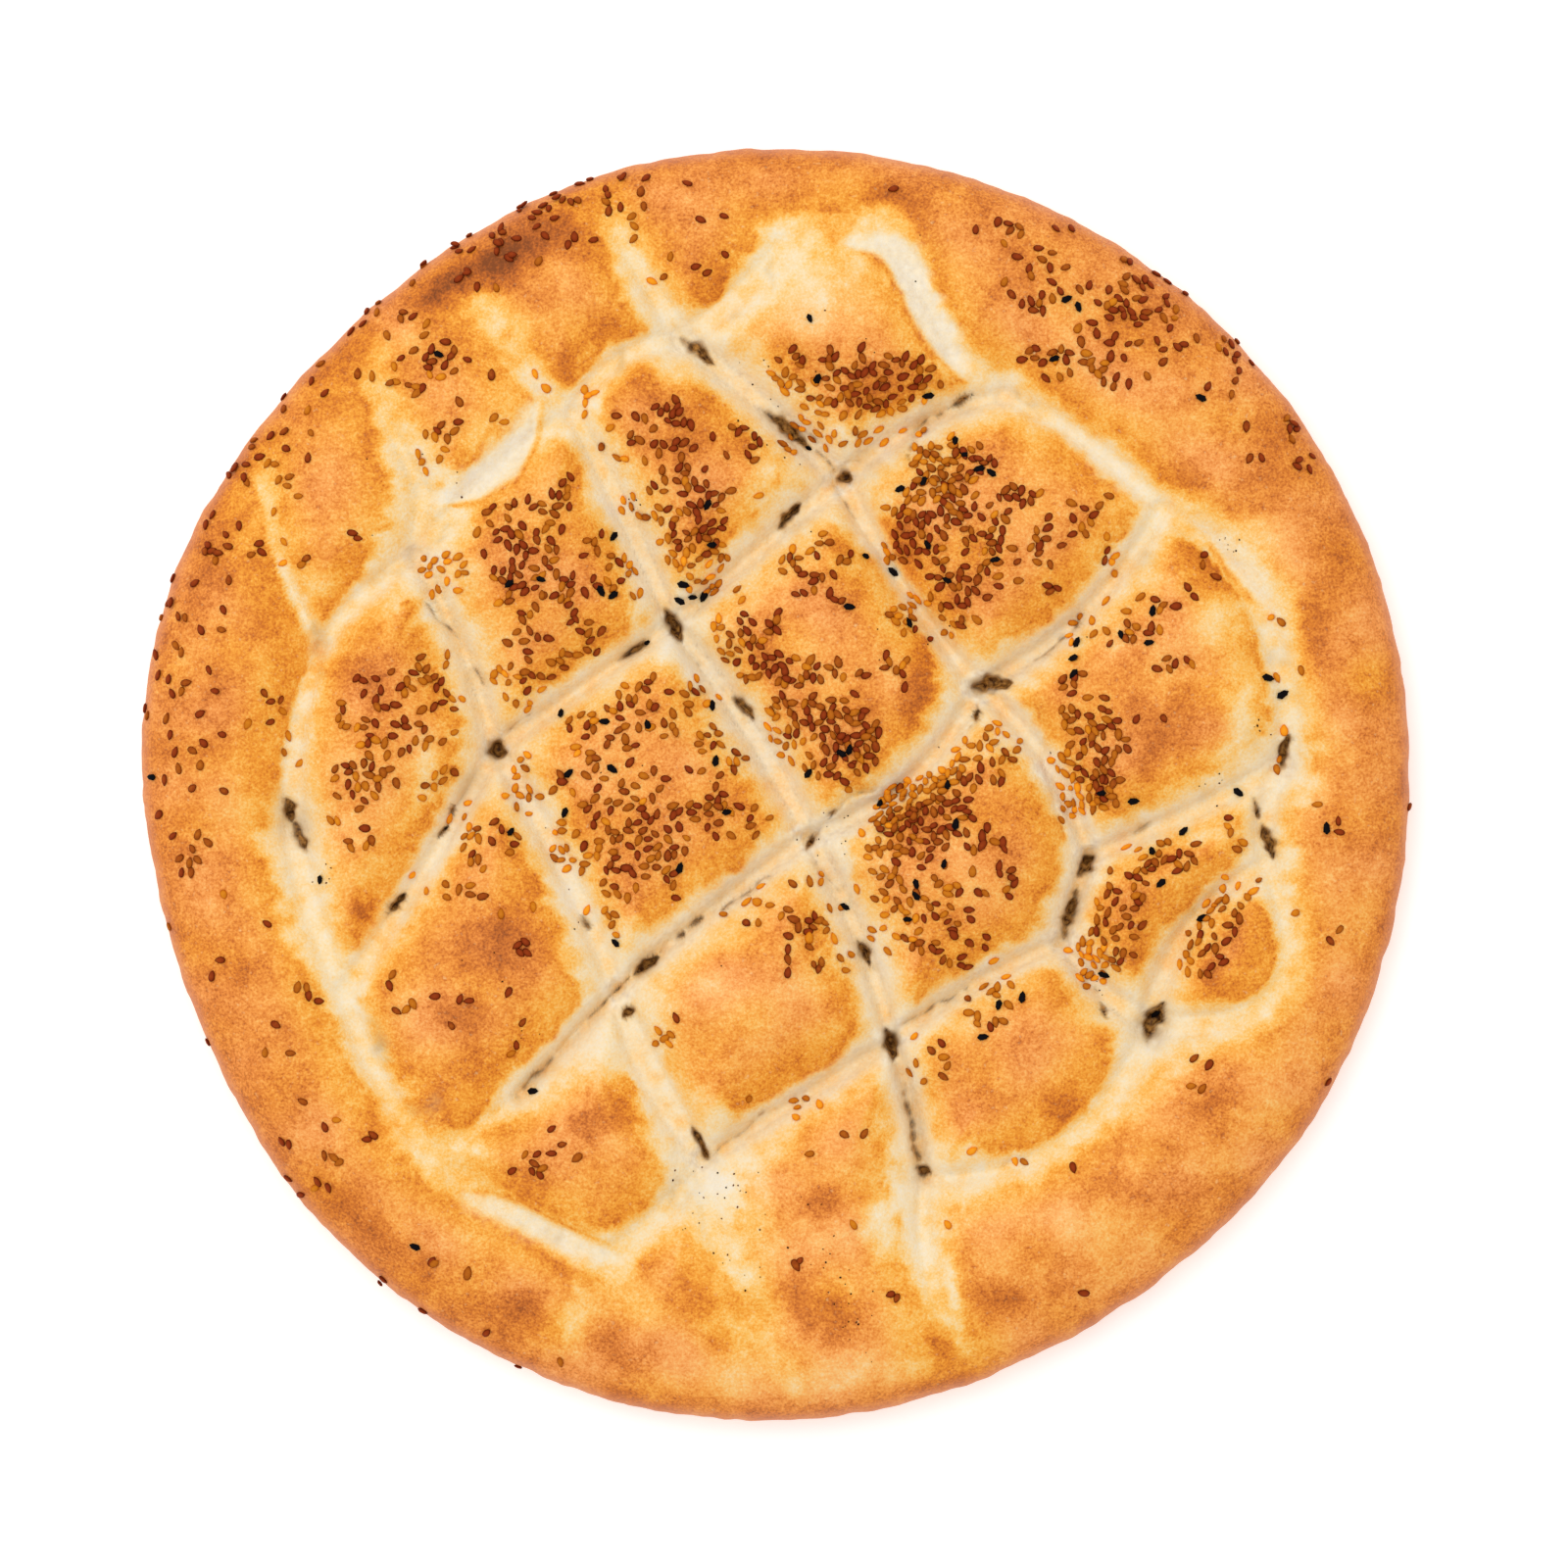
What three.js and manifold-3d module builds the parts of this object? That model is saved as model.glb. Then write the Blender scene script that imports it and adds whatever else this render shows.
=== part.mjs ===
// A round leavened flatbread, furrowed by the baker's fingertips into a slanting lattice of puffed pillows
// inside a broad rounded rim, and strewn with sesame and nigella seeds. It lies on its flat sole.
// Millimetres, +Z up, with the origin at the middle of the sole: the bread as seen from above, +Y away.

import * as THREE from "three";
import { mergeVertices } from "three/addons/utils/BufferGeometryUtils.js";
import Module from "manifold-3d";

// ---- Driving dimensions -------------------------------------------------------------------------------

const loafRadius = 161.4; // mean radius of the outline
const crownHeight = 26; // top of the pillows and of the rim, over the sole
const equatorHeight = 9; // height at which the bread is widest
const rimWidth = 36; // from the outline in to where the rim reaches its full height
const rimFullness = 2.2; // exponent of the rim's section: 2 is an ellipse, more is fuller
const footInset = 8; // how far the edge of the sole lies inside the outline
const pillowShoulder = 26; // how far from a furrow a pillow still rises
const pillowFullness = 2.1; // exponent of a pillow's section
const furrowFoot = 0.1; // share of the shoulder over which a furrow's side turns up from its floor
const furrowMerge = 3; // how sharply the deeper of two furrows wins where they meet
const leastThickness = 4; // dough left under the deepest crease

// The outline's slow swells: how many lobes, how far they stand out, and where the first one points.
const outlineLobes = [
  { lobes: 1, swell: 0.5, degrees: 87 },
  { lobes: 2, swell: 0.8, degrees: 53 },
  { lobes: 3, swell: 0.5, degrees: 30 },
  { lobes: 4, swell: 0.8, degrees: 76 },
  { lobes: 5, swell: 0.6, degrees: 29 },
  { lobes: 6, swell: 0.4, degrees: 43 },
  { lobes: 7, swell: 0.3, degrees: 14 },
];

// The risen dough's slow unevenness: how high it stands, and the lengths over which it comes and goes.
const mounds = { height: 1.1, wide: 21, deep: 26, wander: 34 };
const roll = { height: 0.8, length: 47 };

// Where furrows meet or run out: place, depth under the crown, and the width of the flat floor there.
const crossings = {
  rimNorthWest: { x: -45, y: 147, depth: 2, flat: 3 },
  rimNorth: { x: 1, y: 136, depth: 4, flat: 4 },
  tearNorth: { x: 26, y: 141, depth: 3, flat: 5 },
  bandWest: { x: -78, y: 122, depth: 2, flat: 2.5 },
  slotNorth: { x: -24, y: 113, depth: 11, flat: 5.5 },
  tearEast: { x: 45, y: 109, depth: 5, flat: 4 },
  bandLowWest: { x: -106, y: 106, depth: 2, flat: 2.5 },
  saddleWest: { x: -52, y: 94, depth: 8, flat: 3 },
  ringNorthEast: { x: 57, y: 99, depth: 10, flat: 3 },
  rimWest: { x: -131, y: 82, depth: 3, flat: 2.5 },
  saddleLowWest: { x: -90, y: 74, depth: 7, flat: 4 },
  starNorth: { x: 16, y: 78, depth: 14, flat: 5 },
  ringEast: { x: 97, y: 70, depth: 7, flat: 3 },
  starWest: { x: -92, y: 58, depth: 11, flat: 4 },
  starMiddle: { x: -27, y: 41, depth: 14, flat: 2.5 },
  starEast: { x: 51, y: 25, depth: 14, flat: 3 },
  ringFarEast: { x: 127, y: 32, depth: 7, flat: 4 },
  ringWest: { x: -116, y: 35, depth: 9, flat: 2.5 },
  wellWest: { x: -72, y: 9, depth: 14, flat: 3.5 },
  pinchMiddle: { x: 8, y: -13, depth: 14, flat: 3.5 },
  starFarEast: { x: 79, y: -18, depth: 14, flat: 2.5 },
  slotEast: { x: 128, y: 5, depth: 11, flat: 5 },
  slotWest: { x: -123, y: -11, depth: 11, flat: 5 },
  starSouthWest: { x: -41, y: -52, depth: 12, flat: 3.5 },
  starSouth: { x: 29, y: -65, depth: 14, flat: 2.5 },
  creviceFoot: { x: 72, y: -40, depth: 14, flat: 2.5 },
  wellEast: { x: 95, y: -61, depth: 12, flat: 6 },
  ringLowWest: { x: -110, y: -52, depth: 7, flat: 4 },
  cutSouthWest: { x: -66, y: -79, depth: 10, flat: 1 },
  forkSouth: { x: -19, y: -95, depth: 12, flat: 4 },
  cutSouth: { x: 37, y: -100, depth: 12, flat: 2 },
  ringSouthWest: { x: -88, y: -93, depth: 3, flat: 3 },
  tearSouthWest: { x: -42, y: -119, depth: 5, flat: 4 },
  ringLowEast: { x: 124, y: -20, depth: 8, flat: 3.5 },
  rimSouth: { x: -7, y: -134, depth: 1.5, flat: 2.5 },
  rimSouthEast: { x: 48, y: -147, depth: 2, flat: 2.5 },
};

// A furrow runs from one crossing to another. bow is how far its middle swings to the left of the straight
// way, and depth and flat are those at its middle.
const furrows = [
  { from: "rimNorthWest", to: "slotNorth", bow: 0, depth: 5.5, flat: 3.5 },
  { from: "rimNorth", to: "slotNorth", bow: 1, depth: 7, flat: 4 },
  { from: "rimNorth", to: "tearNorth", bow: 1, depth: 2.5, flat: 3 },
  { from: "tearNorth", to: "tearEast", bow: 2, depth: 4, flat: 4 },
  { from: "tearEast", to: "ringNorthEast", bow: 1, depth: 6.5, flat: 2.5 },
  { from: "slotNorth", to: "starNorth", bow: 1, depth: 12, flat: 4 },
  { from: "slotNorth", to: "saddleWest", bow: -5, depth: 8, flat: 2.5 },
  { from: "bandWest", to: "saddleWest", bow: -1, depth: 3.5, flat: 2 },
  { from: "ringNorthEast", to: "starNorth", bow: -3, depth: 12, flat: 2 },
  { from: "bandLowWest", to: "saddleLowWest", bow: 0, depth: 4, flat: 2.5 },
  { from: "saddleLowWest", to: "starWest", bow: 0, depth: 9, flat: 4 },
  { from: "saddleWest", to: "starWest", bow: -2, depth: 5, flat: 3.5 },
  { from: "saddleWest", to: "starMiddle", bow: 1, depth: 10, flat: 4 },
  { from: "starNorth", to: "starEast", bow: -2, depth: 10, flat: 1.5 },
  { from: "starNorth", to: "starMiddle", bow: 0, depth: 11, flat: 2 },
  { from: "rimWest", to: "ringWest", bow: -3, depth: 4, flat: 2 },
  { from: "starWest", to: "ringWest", bow: -2, depth: 8, flat: 3 },
  { from: "starWest", to: "wellWest", bow: 2, depth: 10, flat: 2 },
  { from: "starMiddle", to: "wellWest", bow: 0, depth: 10, flat: 1.5 },
  { from: "starMiddle", to: "pinchMiddle", bow: 2, depth: 12, flat: 4 },
  { from: "ringNorthEast", to: "ringEast", bow: 3, depth: 6.5, flat: 3 },
  { from: "ringEast", to: "starEast", bow: 5, depth: 11, flat: 2 },
  { from: "ringEast", to: "ringFarEast", bow: 4, depth: 5, flat: 3 },
  { from: "starEast", to: "pinchMiddle", bow: 6, depth: 11, flat: 2 },
  { from: "starEast", to: "starFarEast", bow: 4, depth: 10, flat: 2.5 },
  { from: "ringFarEast", to: "slotEast", bow: 2, depth: 7, flat: 4.5 },
  { from: "slotEast", to: "ringLowEast", bow: -2, depth: 10, flat: 4 },
  { from: "ringWest", to: "slotWest", bow: -3, depth: 7, flat: 3.5 },
  { from: "slotWest", to: "ringLowWest", bow: -2, depth: 6.5, flat: 4 },
  { from: "wellWest", to: "ringLowWest", bow: 1, depth: 10, flat: 2.5 },
  { from: "wellWest", to: "starSouthWest", bow: 2, depth: 9, flat: 3.5 },
  { from: "pinchMiddle", to: "starSouthWest", bow: -1, depth: 12, flat: 1.5 },
  { from: "starSouthWest", to: "cutSouthWest", bow: 0, depth: 12, flat: 1 },
  { from: "cutSouthWest", to: "ringSouthWest", bow: 1, depth: 4, flat: 2 },
  { from: "ringLowWest", to: "ringSouthWest", bow: -3, depth: 7, flat: 3 },
  { from: "ringSouthWest", to: "tearSouthWest", bow: -3, depth: 4, flat: 3 },
  { from: "starSouthWest", to: "forkSouth", bow: -2, depth: 9, flat: 6 },
  { from: "forkSouth", to: "starSouth", bow: 0, depth: 11, flat: 2 },
  { from: "forkSouth", to: "tearSouthWest", bow: 2, depth: 7, flat: 4 },
  { from: "pinchMiddle", to: "starSouth", bow: 2, depth: 11, flat: 3 },
  { from: "starSouth", to: "cutSouth", bow: 1, depth: 12, flat: 2 },
  { from: "starSouth", to: "creviceFoot", bow: 2, depth: 10, flat: 2 },
  { from: "creviceFoot", to: "starFarEast", bow: 0, depth: 14, flat: 2.5 },
  { from: "creviceFoot", to: "wellEast", bow: -2, depth: 10, flat: 3.5 },
  { from: "starFarEast", to: "slotEast", bow: -1, depth: 9, flat: 3 },
  { from: "ringLowEast", to: "wellEast", bow: -7, depth: 9, flat: 2 },
  { from: "ringLowEast", to: "wellEast", bow: 20, depth: 4, flat: 2.5 },
  { from: "cutSouth", to: "wellEast", bow: -12, depth: 5, flat: 3 },
  { from: "cutSouth", to: "rimSouthEast", bow: -4, depth: 4, flat: 3 },
  { from: "forkSouth", to: "rimSouth", bow: -3, depth: 3, flat: 3 },
];

// Places where the furrow has pulled open into a pocket: middle, long and short axes, slant and extra depth.
const pockets = [
  { x: -20.5, y: 110.5, long: 12, short: 4, slant: -38, depth: 3 },
  { x: 2, y: 90.8, long: 18, short: 3.4, slant: -38, depth: 3 },
  { x: 2.8, y: 68.6, long: 11, short: 3.2, slant: 48, depth: 4 },
  { x: -26.5, y: 40.5, long: 12, short: 4.4, slant: -62, depth: 4 },
  { x: -8.8, y: 20, long: 9, short: 3.4, slant: -48, depth: 4 },
  { x: -36.5, y: 34.2, long: 11, short: 2.6, slant: 30, depth: 3 },
  { x: -71.5, y: 8.5, long: 6, short: 5.6, slant: 0, depth: 4 },
  { x: -97, y: -30, long: 9, short: 2.6, slant: 50, depth: 4 },
  { x: -124.3, y: -6.3, long: 7, short: 4.4, slant: -80, depth: 4 },
  { x: -121.7, y: -13, long: 11, short: 3.4, slant: -66, depth: 3 },
  { x: -33.8, y: -46, long: 9, short: 4, slant: 36, depth: 4 },
  { x: -20.3, y: -89.8, long: 9, short: 2.4, slant: -62, depth: 4 },
  { x: 21.8, y: -42.5, long: 8, short: 3.2, slant: -62, depth: 4 },
  { x: 28.6, y: -66, long: 10, short: 4.4, slant: -78, depth: 4 },
  { x: 37, y: -98, long: 5.5, short: 3.6, slant: -20, depth: 4 },
  { x: 95.5, y: -60.5, long: 12, short: 6, slant: 68, depth: 4 },
  { x: 54.5, y: 25.6, long: 12, short: 5, slant: 6, depth: 4 },
  { x: 78.2, y: -20.5, long: 8, short: 4.6, slant: 50, depth: 4 },
  { x: 74.3, y: -33, long: 16, short: 3.6, slant: 76, depth: 4 },
  { x: 128.6, y: 8.5, long: 11, short: 3.2, slant: 80, depth: 4 },
  { x: 124.6, y: -14, long: 11, short: 3.6, slant: -70, depth: 4 },
];

// Handfuls of seed as they fell: middle, reach along and across a slant, and how many of the fused seeds.
const seedHandfuls = [
  { x: -20, y: 76, along: 22, across: 11, slant: -60, seeds: 17 },
  { x: 20, y: 100, along: 20, across: 9, slant: -5, seeds: 13 },
  { x: 42, y: 66, along: 24, across: 14, slant: -75, seeds: 25 },
  { x: 12, y: 28, along: 27, across: 15, slant: -60, seeds: 24 },
  { x: -60, y: 48, along: 24, across: 15, slant: -70, seeds: 19 },
  { x: -36, y: -3, along: 24, across: 21, slant: -30, seeds: 25 },
  { x: 42, y: -14, along: 24, across: 16, slant: 60, seeds: 24 },
  { x: 82, y: 18, along: 21, across: 10, slant: -70, seeds: 15 },
  { x: -99, y: 12, along: 20, across: 12, slant: -80, seeds: 10 },
  { x: 90, y: -30, along: 16, across: 10, slant: 80, seeds: 10 },
  { x: 111, y: -40, along: 13, across: 6, slant: 60, seeds: 5 },
  { x: 84, y: 114, along: 22, across: 14, slant: -30, seeds: 12 },
];
const goldenAngle = Math.PI * (3 - Math.sqrt(5)); // spreads a handful evenly over its oval
const seedJitter = 0.5; // how far, in radians, a seed may stray from that
const rimSeeds = 26; // fused seeds strewn over the rim
const rimSeedBand = { inner: 128, outer: 155 };
const drawSeed = 2719; // starts the draws of where and how the seeds lie

const seedLength = 3.3;
const seedWidth = 2.3;
const seedThickness = 1.9;
const seedSinking = 0.15; // how far a seed's middle lies under the crust it is baked into
const seedSides = 6;

// How finely the bread is faceted.
const innerRings = 28; // evenly spaced from the middle out, each with six corners more than the last
const rimRings = 5; // the rest of the way, crowding towards the outline
const rimRingsReach = 26; // how far inside the outline they begin
const underRings = 2;
const furrowStep = 2;
const drawReach = 5; // facet corners nearer than this to a furrow are drawn in towards it
const pocketWidening = 1.5; // so that a pocket is no narrower than a facet

// ---- The relief ---------------------------------------------------------------------------------------

function outlineRadius(angle) {
  let radius = loafRadius;
  for (const lobe of outlineLobes) {
    radius += lobe.swell * Math.cos(lobe.lobes * (angle - THREE.MathUtils.degToRad(lobe.degrees)));
  }
  return radius;
}

function unevenness(x, y) {
  const mound = Math.sin(x / mounds.wide + Math.sin(y / mounds.wander)) * Math.cos(y / mounds.deep);
  return mounds.height * mound + roll.height * Math.sin((x - 2 * y) / roll.length);
}

function sampleFurrow({ from, to, bow, depth, flat }) {
  const start = crossings[from];
  const end = crossings[to];
  const length = Math.hypot(end.x - start.x, end.y - start.y);
  const left = { x: -(end.y - start.y) / length, y: (end.x - start.x) / length };
  // The middle of a quadratic curve lies halfway between its chord and its control point.
  const pull = (key, middle) => 2 * middle - (start[key] + end[key]) / 2;
  const middle = {
    x: pull("x", (start.x + end.x) / 2 + bow * left.x),
    y: pull("y", (start.y + end.y) / 2 + bow * left.y),
    depth: pull("depth", depth),
    flat: pull("flat", flat),
  };
  const steps = Math.ceil(length / furrowStep);
  return Array.from({ length: steps + 1 }, (_, i) => {
    const t = i / steps;
    const at = (key) => (1 - t) ** 2 * start[key] + 2 * t * (1 - t) * middle[key] + t * t * end[key];
    return { x: at("x"), y: at("y"), depth: at("depth"), flat: at("flat") };
  });
}

const furrowLines = furrows.map(sampleFurrow);

// The point of a furrow nearest to (x, y), with its distance, depth and flat.
function nearestOnFurrow(line, x, y) {
  let best = { distance: Infinity };
  for (let i = 1; i < line.length; i += 1) {
    const a = line[i - 1];
    const b = line[i];
    const dx = b.x - a.x;
    const dy = b.y - a.y;
    const t = THREE.MathUtils.clamp(((x - a.x) * dx + (y - a.y) * dy) / (dx * dx + dy * dy), 0, 1);
    const point = { x: a.x + t * dx, y: a.y + t * dy };
    const distance = Math.hypot(x - point.x, y - point.y);
    if (distance < best.distance) {
      const depth = THREE.MathUtils.lerp(a.depth, b.depth, t);
      const flat = THREE.MathUtils.lerp(a.flat, b.flat, t);
      best = { ...point, distance, depth, flat };
    }
  }
  return best;
}

// How full a rounded section is at a share of its width: 0 at its foot, 1 at its crown.
function fullness(share, exponent) {
  const left = 1 - THREE.MathUtils.clamp(share, 0, 1);
  return (1 - left ** exponent) ** (1 / exponent);
}

// The mean of all furrows' depths at a place, in which a furrow weighs by a power of its own depth there.
function furrowDepth(x, y) {
  let weights = Number.EPSILON;
  let sum = 0;
  for (const line of furrowLines) {
    const near = nearestOnFurrow(line, x, y);
    const share = Math.max(0, near.distance - near.flat / 2) / pillowShoulder;
    const rise = fullness((share * share) / (share + furrowFoot), pillowFullness);
    const depth = near.depth * (1 - rise);
    weights += depth ** furrowMerge;
    sum += depth ** (furrowMerge + 1);
  }
  return sum / weights;
}

function pocketDepth(x, y) {
  let deepest = 0;
  for (const pocket of pockets) {
    const slant = THREE.MathUtils.degToRad(pocket.slant);
    const dx = x - pocket.x;
    const dy = y - pocket.y;
    const along = (dx * Math.cos(slant) + dy * Math.sin(slant)) / (pocket.long / 2);
    const across = (dy * Math.cos(slant) - dx * Math.sin(slant)) / (pocket.short / 2 + pocketWidening);
    const share = 1 - Math.hypot(along, across);
    deepest = Math.max(deepest, pocket.depth * fullness(share, 2));
  }
  return deepest;
}

// Height of the crust at a place that lies `inset` inside the outline.
function crustHeight(x, y, inset) {
  const rim = fullness(inset / rimWidth, rimFullness);
  const envelope = equatorHeight + (crownHeight + unevenness(x, y) - equatorHeight) * rim;
  return Math.max(leastThickness, envelope - furrowDepth(x, y) * rim - pocketDepth(x, y));
}

// ---- The bread's mesh ---------------------------------------------------------------------------------

// How far inside the outline a ring of corners lies.
function ringInset(ring, radius) {
  if (ring <= innerRings) return radius - ((radius - rimRingsReach) * ring) / innerRings;
  return rimRingsReach * (1 - Math.sin(((Math.PI / 2) * (ring - innerRings)) / rimRings));
}

// Draws a corner of a facet in towards a furrow that runs close by, so that facets follow its floor.
function drawnIn(x, y) {
  const near = furrowLines
    .map((line) => nearestOnFurrow(line, x, y))
    .reduce((best, next) => (next.distance < best.distance ? next : best));
  const pull = 1 - Math.min(1, near.distance / drawReach);
  return { x: x + (near.x - x) * pull, y: y + (near.y - y) * pull };
}

// Triangles between two rings. The outer has as many corners as the inner, or one more on each sixth.
function ringTriangles(inner, outer) {
  const triangles = [];
  const sixth = outer.count / 6;
  const grows = outer.count > inner.count;
  for (let i = 0; i < outer.count; i += 1) {
    const extra = grows ? Math.floor(i / sixth) : 0;
    const innerHere = inner.start + ((i - extra) % inner.count);
    const innerNext = inner.start + ((i - extra + 1) % inner.count);
    const outerHere = outer.start + i;
    const outerNext = outer.start + ((i + 1) % outer.count);
    triangles.push(innerHere, outerHere, outerNext);
    const endsSixth = grows && (i + 1) % sixth === 0;
    if (!endsSixth) triangles.push(innerHere, outerNext, innerNext);
  }
  return triangles;
}

// The crust from its middle out to the widest place, then the turn under it, then the sole.
function breadGeometry() {
  const corners = [];
  const triangles = [];
  let last = null;
  const addRing = (count, place) => {
    const ring = { start: corners.length / 3, count };
    for (let i = 0; i < count; i += 1) corners.push(...place((2 * Math.PI * i) / count));
    if (last) triangles.push(...ringTriangles(last, ring));
    last = ring;
  };
  for (let ring = 0; ring <= innerRings + rimRings; ring += 1) {
    addRing(Math.max(1, 6 * Math.min(ring, innerRings)), (angle) => {
      const radius = outlineRadius(angle);
      const inset = ringInset(ring, radius);
      const place = { x: (radius - inset) * Math.cos(angle), y: (radius - inset) * Math.sin(angle) };
      if (inset < drawReach) return [place.x, place.y, crustHeight(place.x, place.y, inset)];
      const { x, y } = drawnIn(place.x, place.y);
      return [x, y, crustHeight(x, y, outlineRadius(Math.atan2(y, x)) - Math.hypot(x, y))];
    });
  }
  for (let ring = 1; ring <= underRings; ring += 1) {
    const turn = ((Math.PI / 2) * ring) / underRings;
    const height = ring === underRings ? 0 : equatorHeight * (1 - Math.sin(turn));
    addRing(6 * innerRings, (angle) => {
      const radius = outlineRadius(angle) - footInset * (1 - Math.cos(turn));
      return [radius * Math.cos(angle), radius * Math.sin(angle), height];
    });
  }
  const soleMiddle = corners.length / 3;
  corners.push(0, 0, 0);
  for (let i = 0; i < last.count; i += 1) {
    triangles.push(last.start + i, soleMiddle, last.start + ((i + 1) % last.count));
  }
  const geometry = new THREE.BufferGeometry();
  geometry.setAttribute("position", new THREE.Float32BufferAttribute(corners, 3));
  geometry.setIndex(triangles);
  return geometry;
}

// ---- The seeds ----------------------------------------------------------------------------------------

// A small generator of repeatable draws between 0 and 1.
function drawsFrom(seed) {
  let state = seed;
  return () => {
    state = (Math.imul(state, 1664525) + 1013904223) >>> 0;
    return state / 2 ** 32;
  };
}

// A flat drop, low and domed, that narrows towards one end.
function seedGeometry() {
  const geometry = new THREE.SphereGeometry(0.5, seedSides, 2);
  geometry.rotateX(Math.PI / 2);
  const position = geometry.getAttribute("position");
  for (let i = 0; i < position.count; i += 1) {
    const x = position.getX(i);
    const taper = 1 - Math.max(0, x);
    const z = position.getZ(i) * seedThickness - seedSinking;
    position.setXYZ(i, x * seedLength, position.getY(i) * seedWidth * taper, z);
  }
  return geometry;
}

// Places for the fused seeds: the handfuls on the pillows, then the seeds strewn round the rim.
function seedPlaces() {
  const draw = drawsFrom(drawSeed);
  const places = [];
  for (const handful of seedHandfuls) {
    const slant = THREE.MathUtils.degToRad(handful.slant);
    for (let i = 0; i < handful.seeds; i += 1) {
      const reach = Math.sqrt((i + 0.5) / handful.seeds);
      const turn = i * goldenAngle + draw() * seedJitter;
      const along = handful.along * reach * Math.cos(turn);
      const across = handful.across * reach * Math.sin(turn);
      places.push({
        x: handful.x + along * Math.cos(slant) - across * Math.sin(slant),
        y: handful.y + along * Math.sin(slant) + across * Math.cos(slant),
        turn: draw() * Math.PI,
      });
    }
  }
  for (let i = 0; i < rimSeeds; i += 1) {
    const angle = ((i + draw()) / rimSeeds) * 2 * Math.PI;
    const radius = THREE.MathUtils.lerp(rimSeedBand.inner, rimSeedBand.outer, draw());
    places.push({ x: radius * Math.cos(angle), y: radius * Math.sin(angle), turn: draw() * Math.PI });
  }
  return places;
}

// One seed baked into the crust of the mesh `bread`, square to the facet under it.
function seedOn(bread, place) {
  const above = new THREE.Vector3(place.x, place.y, 2 * crownHeight);
  const down = new THREE.Raycaster(above, new THREE.Vector3(0, 0, -1));
  const [hit] = down.intersectObject(bread);
  const lie = new THREE.Quaternion().setFromUnitVectors(new THREE.Vector3(0, 0, 1), hit.face.normal);
  const turn = new THREE.Quaternion().setFromAxisAngle(new THREE.Vector3(0, 0, 1), place.turn);
  const matrix = new THREE.Matrix4().compose(hit.point, lie.multiply(turn), new THREE.Vector3(1, 1, 1));
  return seedGeometry().applyMatrix4(matrix);
}

// ---- Putting it together ------------------------------------------------------------------------------

const wasm = await Module();
wasm.setup();

function toSolid(geometry) {
  const bare = new THREE.BufferGeometry();
  bare.setAttribute("position", geometry.getAttribute("position"));
  bare.setIndex(geometry.index);
  const merged = mergeVertices(bare, 1e-4);
  // Facets that merging has shrunk to a line are left out.
  const triVerts = [];
  const index = merged.index.array;
  for (let i = 0; i < index.length; i += 3) {
    const [a, b, c] = index.slice(i, i + 3);
    if (a !== b && b !== c && c !== a) triVerts.push(a, b, c);
  }
  return new wasm.Manifold(
    new wasm.Mesh({
      numProp: 3,
      vertProperties: merged.getAttribute("position").array,
      triVerts: new Uint32Array(triVerts),
    }),
  );
}

function toGeometry(solid) {
  const mesh = solid.getMesh();
  const geometry = new THREE.BufferGeometry();
  geometry.setAttribute("position", new THREE.BufferAttribute(mesh.vertProperties, 3));
  geometry.setIndex(new THREE.BufferAttribute(mesh.triVerts, 1));
  return geometry;
}

// The bread with its seeds baked on, as one solid. A sliver that the joins leave loose is dropped.
function pideGeometry() {
  const bare = breadGeometry();
  bare.computeBoundingSphere();
  const target = new THREE.Mesh(bare);
  const seeds = seedPlaces().map((place) => toSolid(seedOn(target, place)));
  const joined = wasm.Manifold.union([toSolid(bare), ...seeds]);
  const [largest] = joined.decompose().sort((a, b) => b.volume() - a.volume());
  const geometry = toGeometry(largest);
  geometry.computeBoundingBox();
  const middle = geometry.boundingBox.getCenter(new THREE.Vector3());
  geometry.translate(-middle.x, -middle.y, -geometry.boundingBox.min.z);
  geometry.computeVertexNormals();
  return geometry;
}

const crust = new THREE.MeshStandardMaterial({ color: 0xe89a45, roughness: 0.6, metalness: 0 });

const pide = new THREE.Mesh(pideGeometry(), crust);
pide.name = "pide";

const loaf = new THREE.Group();
loaf.add(pide);

export default loaf;
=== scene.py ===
import math

import bmesh
import bpy
import numpy as np
from mathutils import Matrix, Vector
from mathutils.bvhtree import BVHTree


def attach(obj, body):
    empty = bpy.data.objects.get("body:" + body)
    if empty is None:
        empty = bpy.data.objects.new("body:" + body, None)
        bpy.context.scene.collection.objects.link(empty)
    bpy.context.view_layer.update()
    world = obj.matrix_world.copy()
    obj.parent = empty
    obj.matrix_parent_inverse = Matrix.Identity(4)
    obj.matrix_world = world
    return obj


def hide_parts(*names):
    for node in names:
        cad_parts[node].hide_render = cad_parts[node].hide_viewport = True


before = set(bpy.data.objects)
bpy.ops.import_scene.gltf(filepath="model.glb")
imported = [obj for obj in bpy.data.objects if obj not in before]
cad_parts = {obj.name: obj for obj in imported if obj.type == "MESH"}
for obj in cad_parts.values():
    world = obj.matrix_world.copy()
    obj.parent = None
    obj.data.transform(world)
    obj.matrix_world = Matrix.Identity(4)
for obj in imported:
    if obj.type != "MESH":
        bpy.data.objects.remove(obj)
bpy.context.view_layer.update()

# ---- The table, the light and the view -----------------------------------------------------------------
# The bread lies on a plain white table under one broad soft light, and is seen from straight above.
# Places and sizes on the bread are in millimetres from near its middle, and turned into metres at the end.

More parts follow.
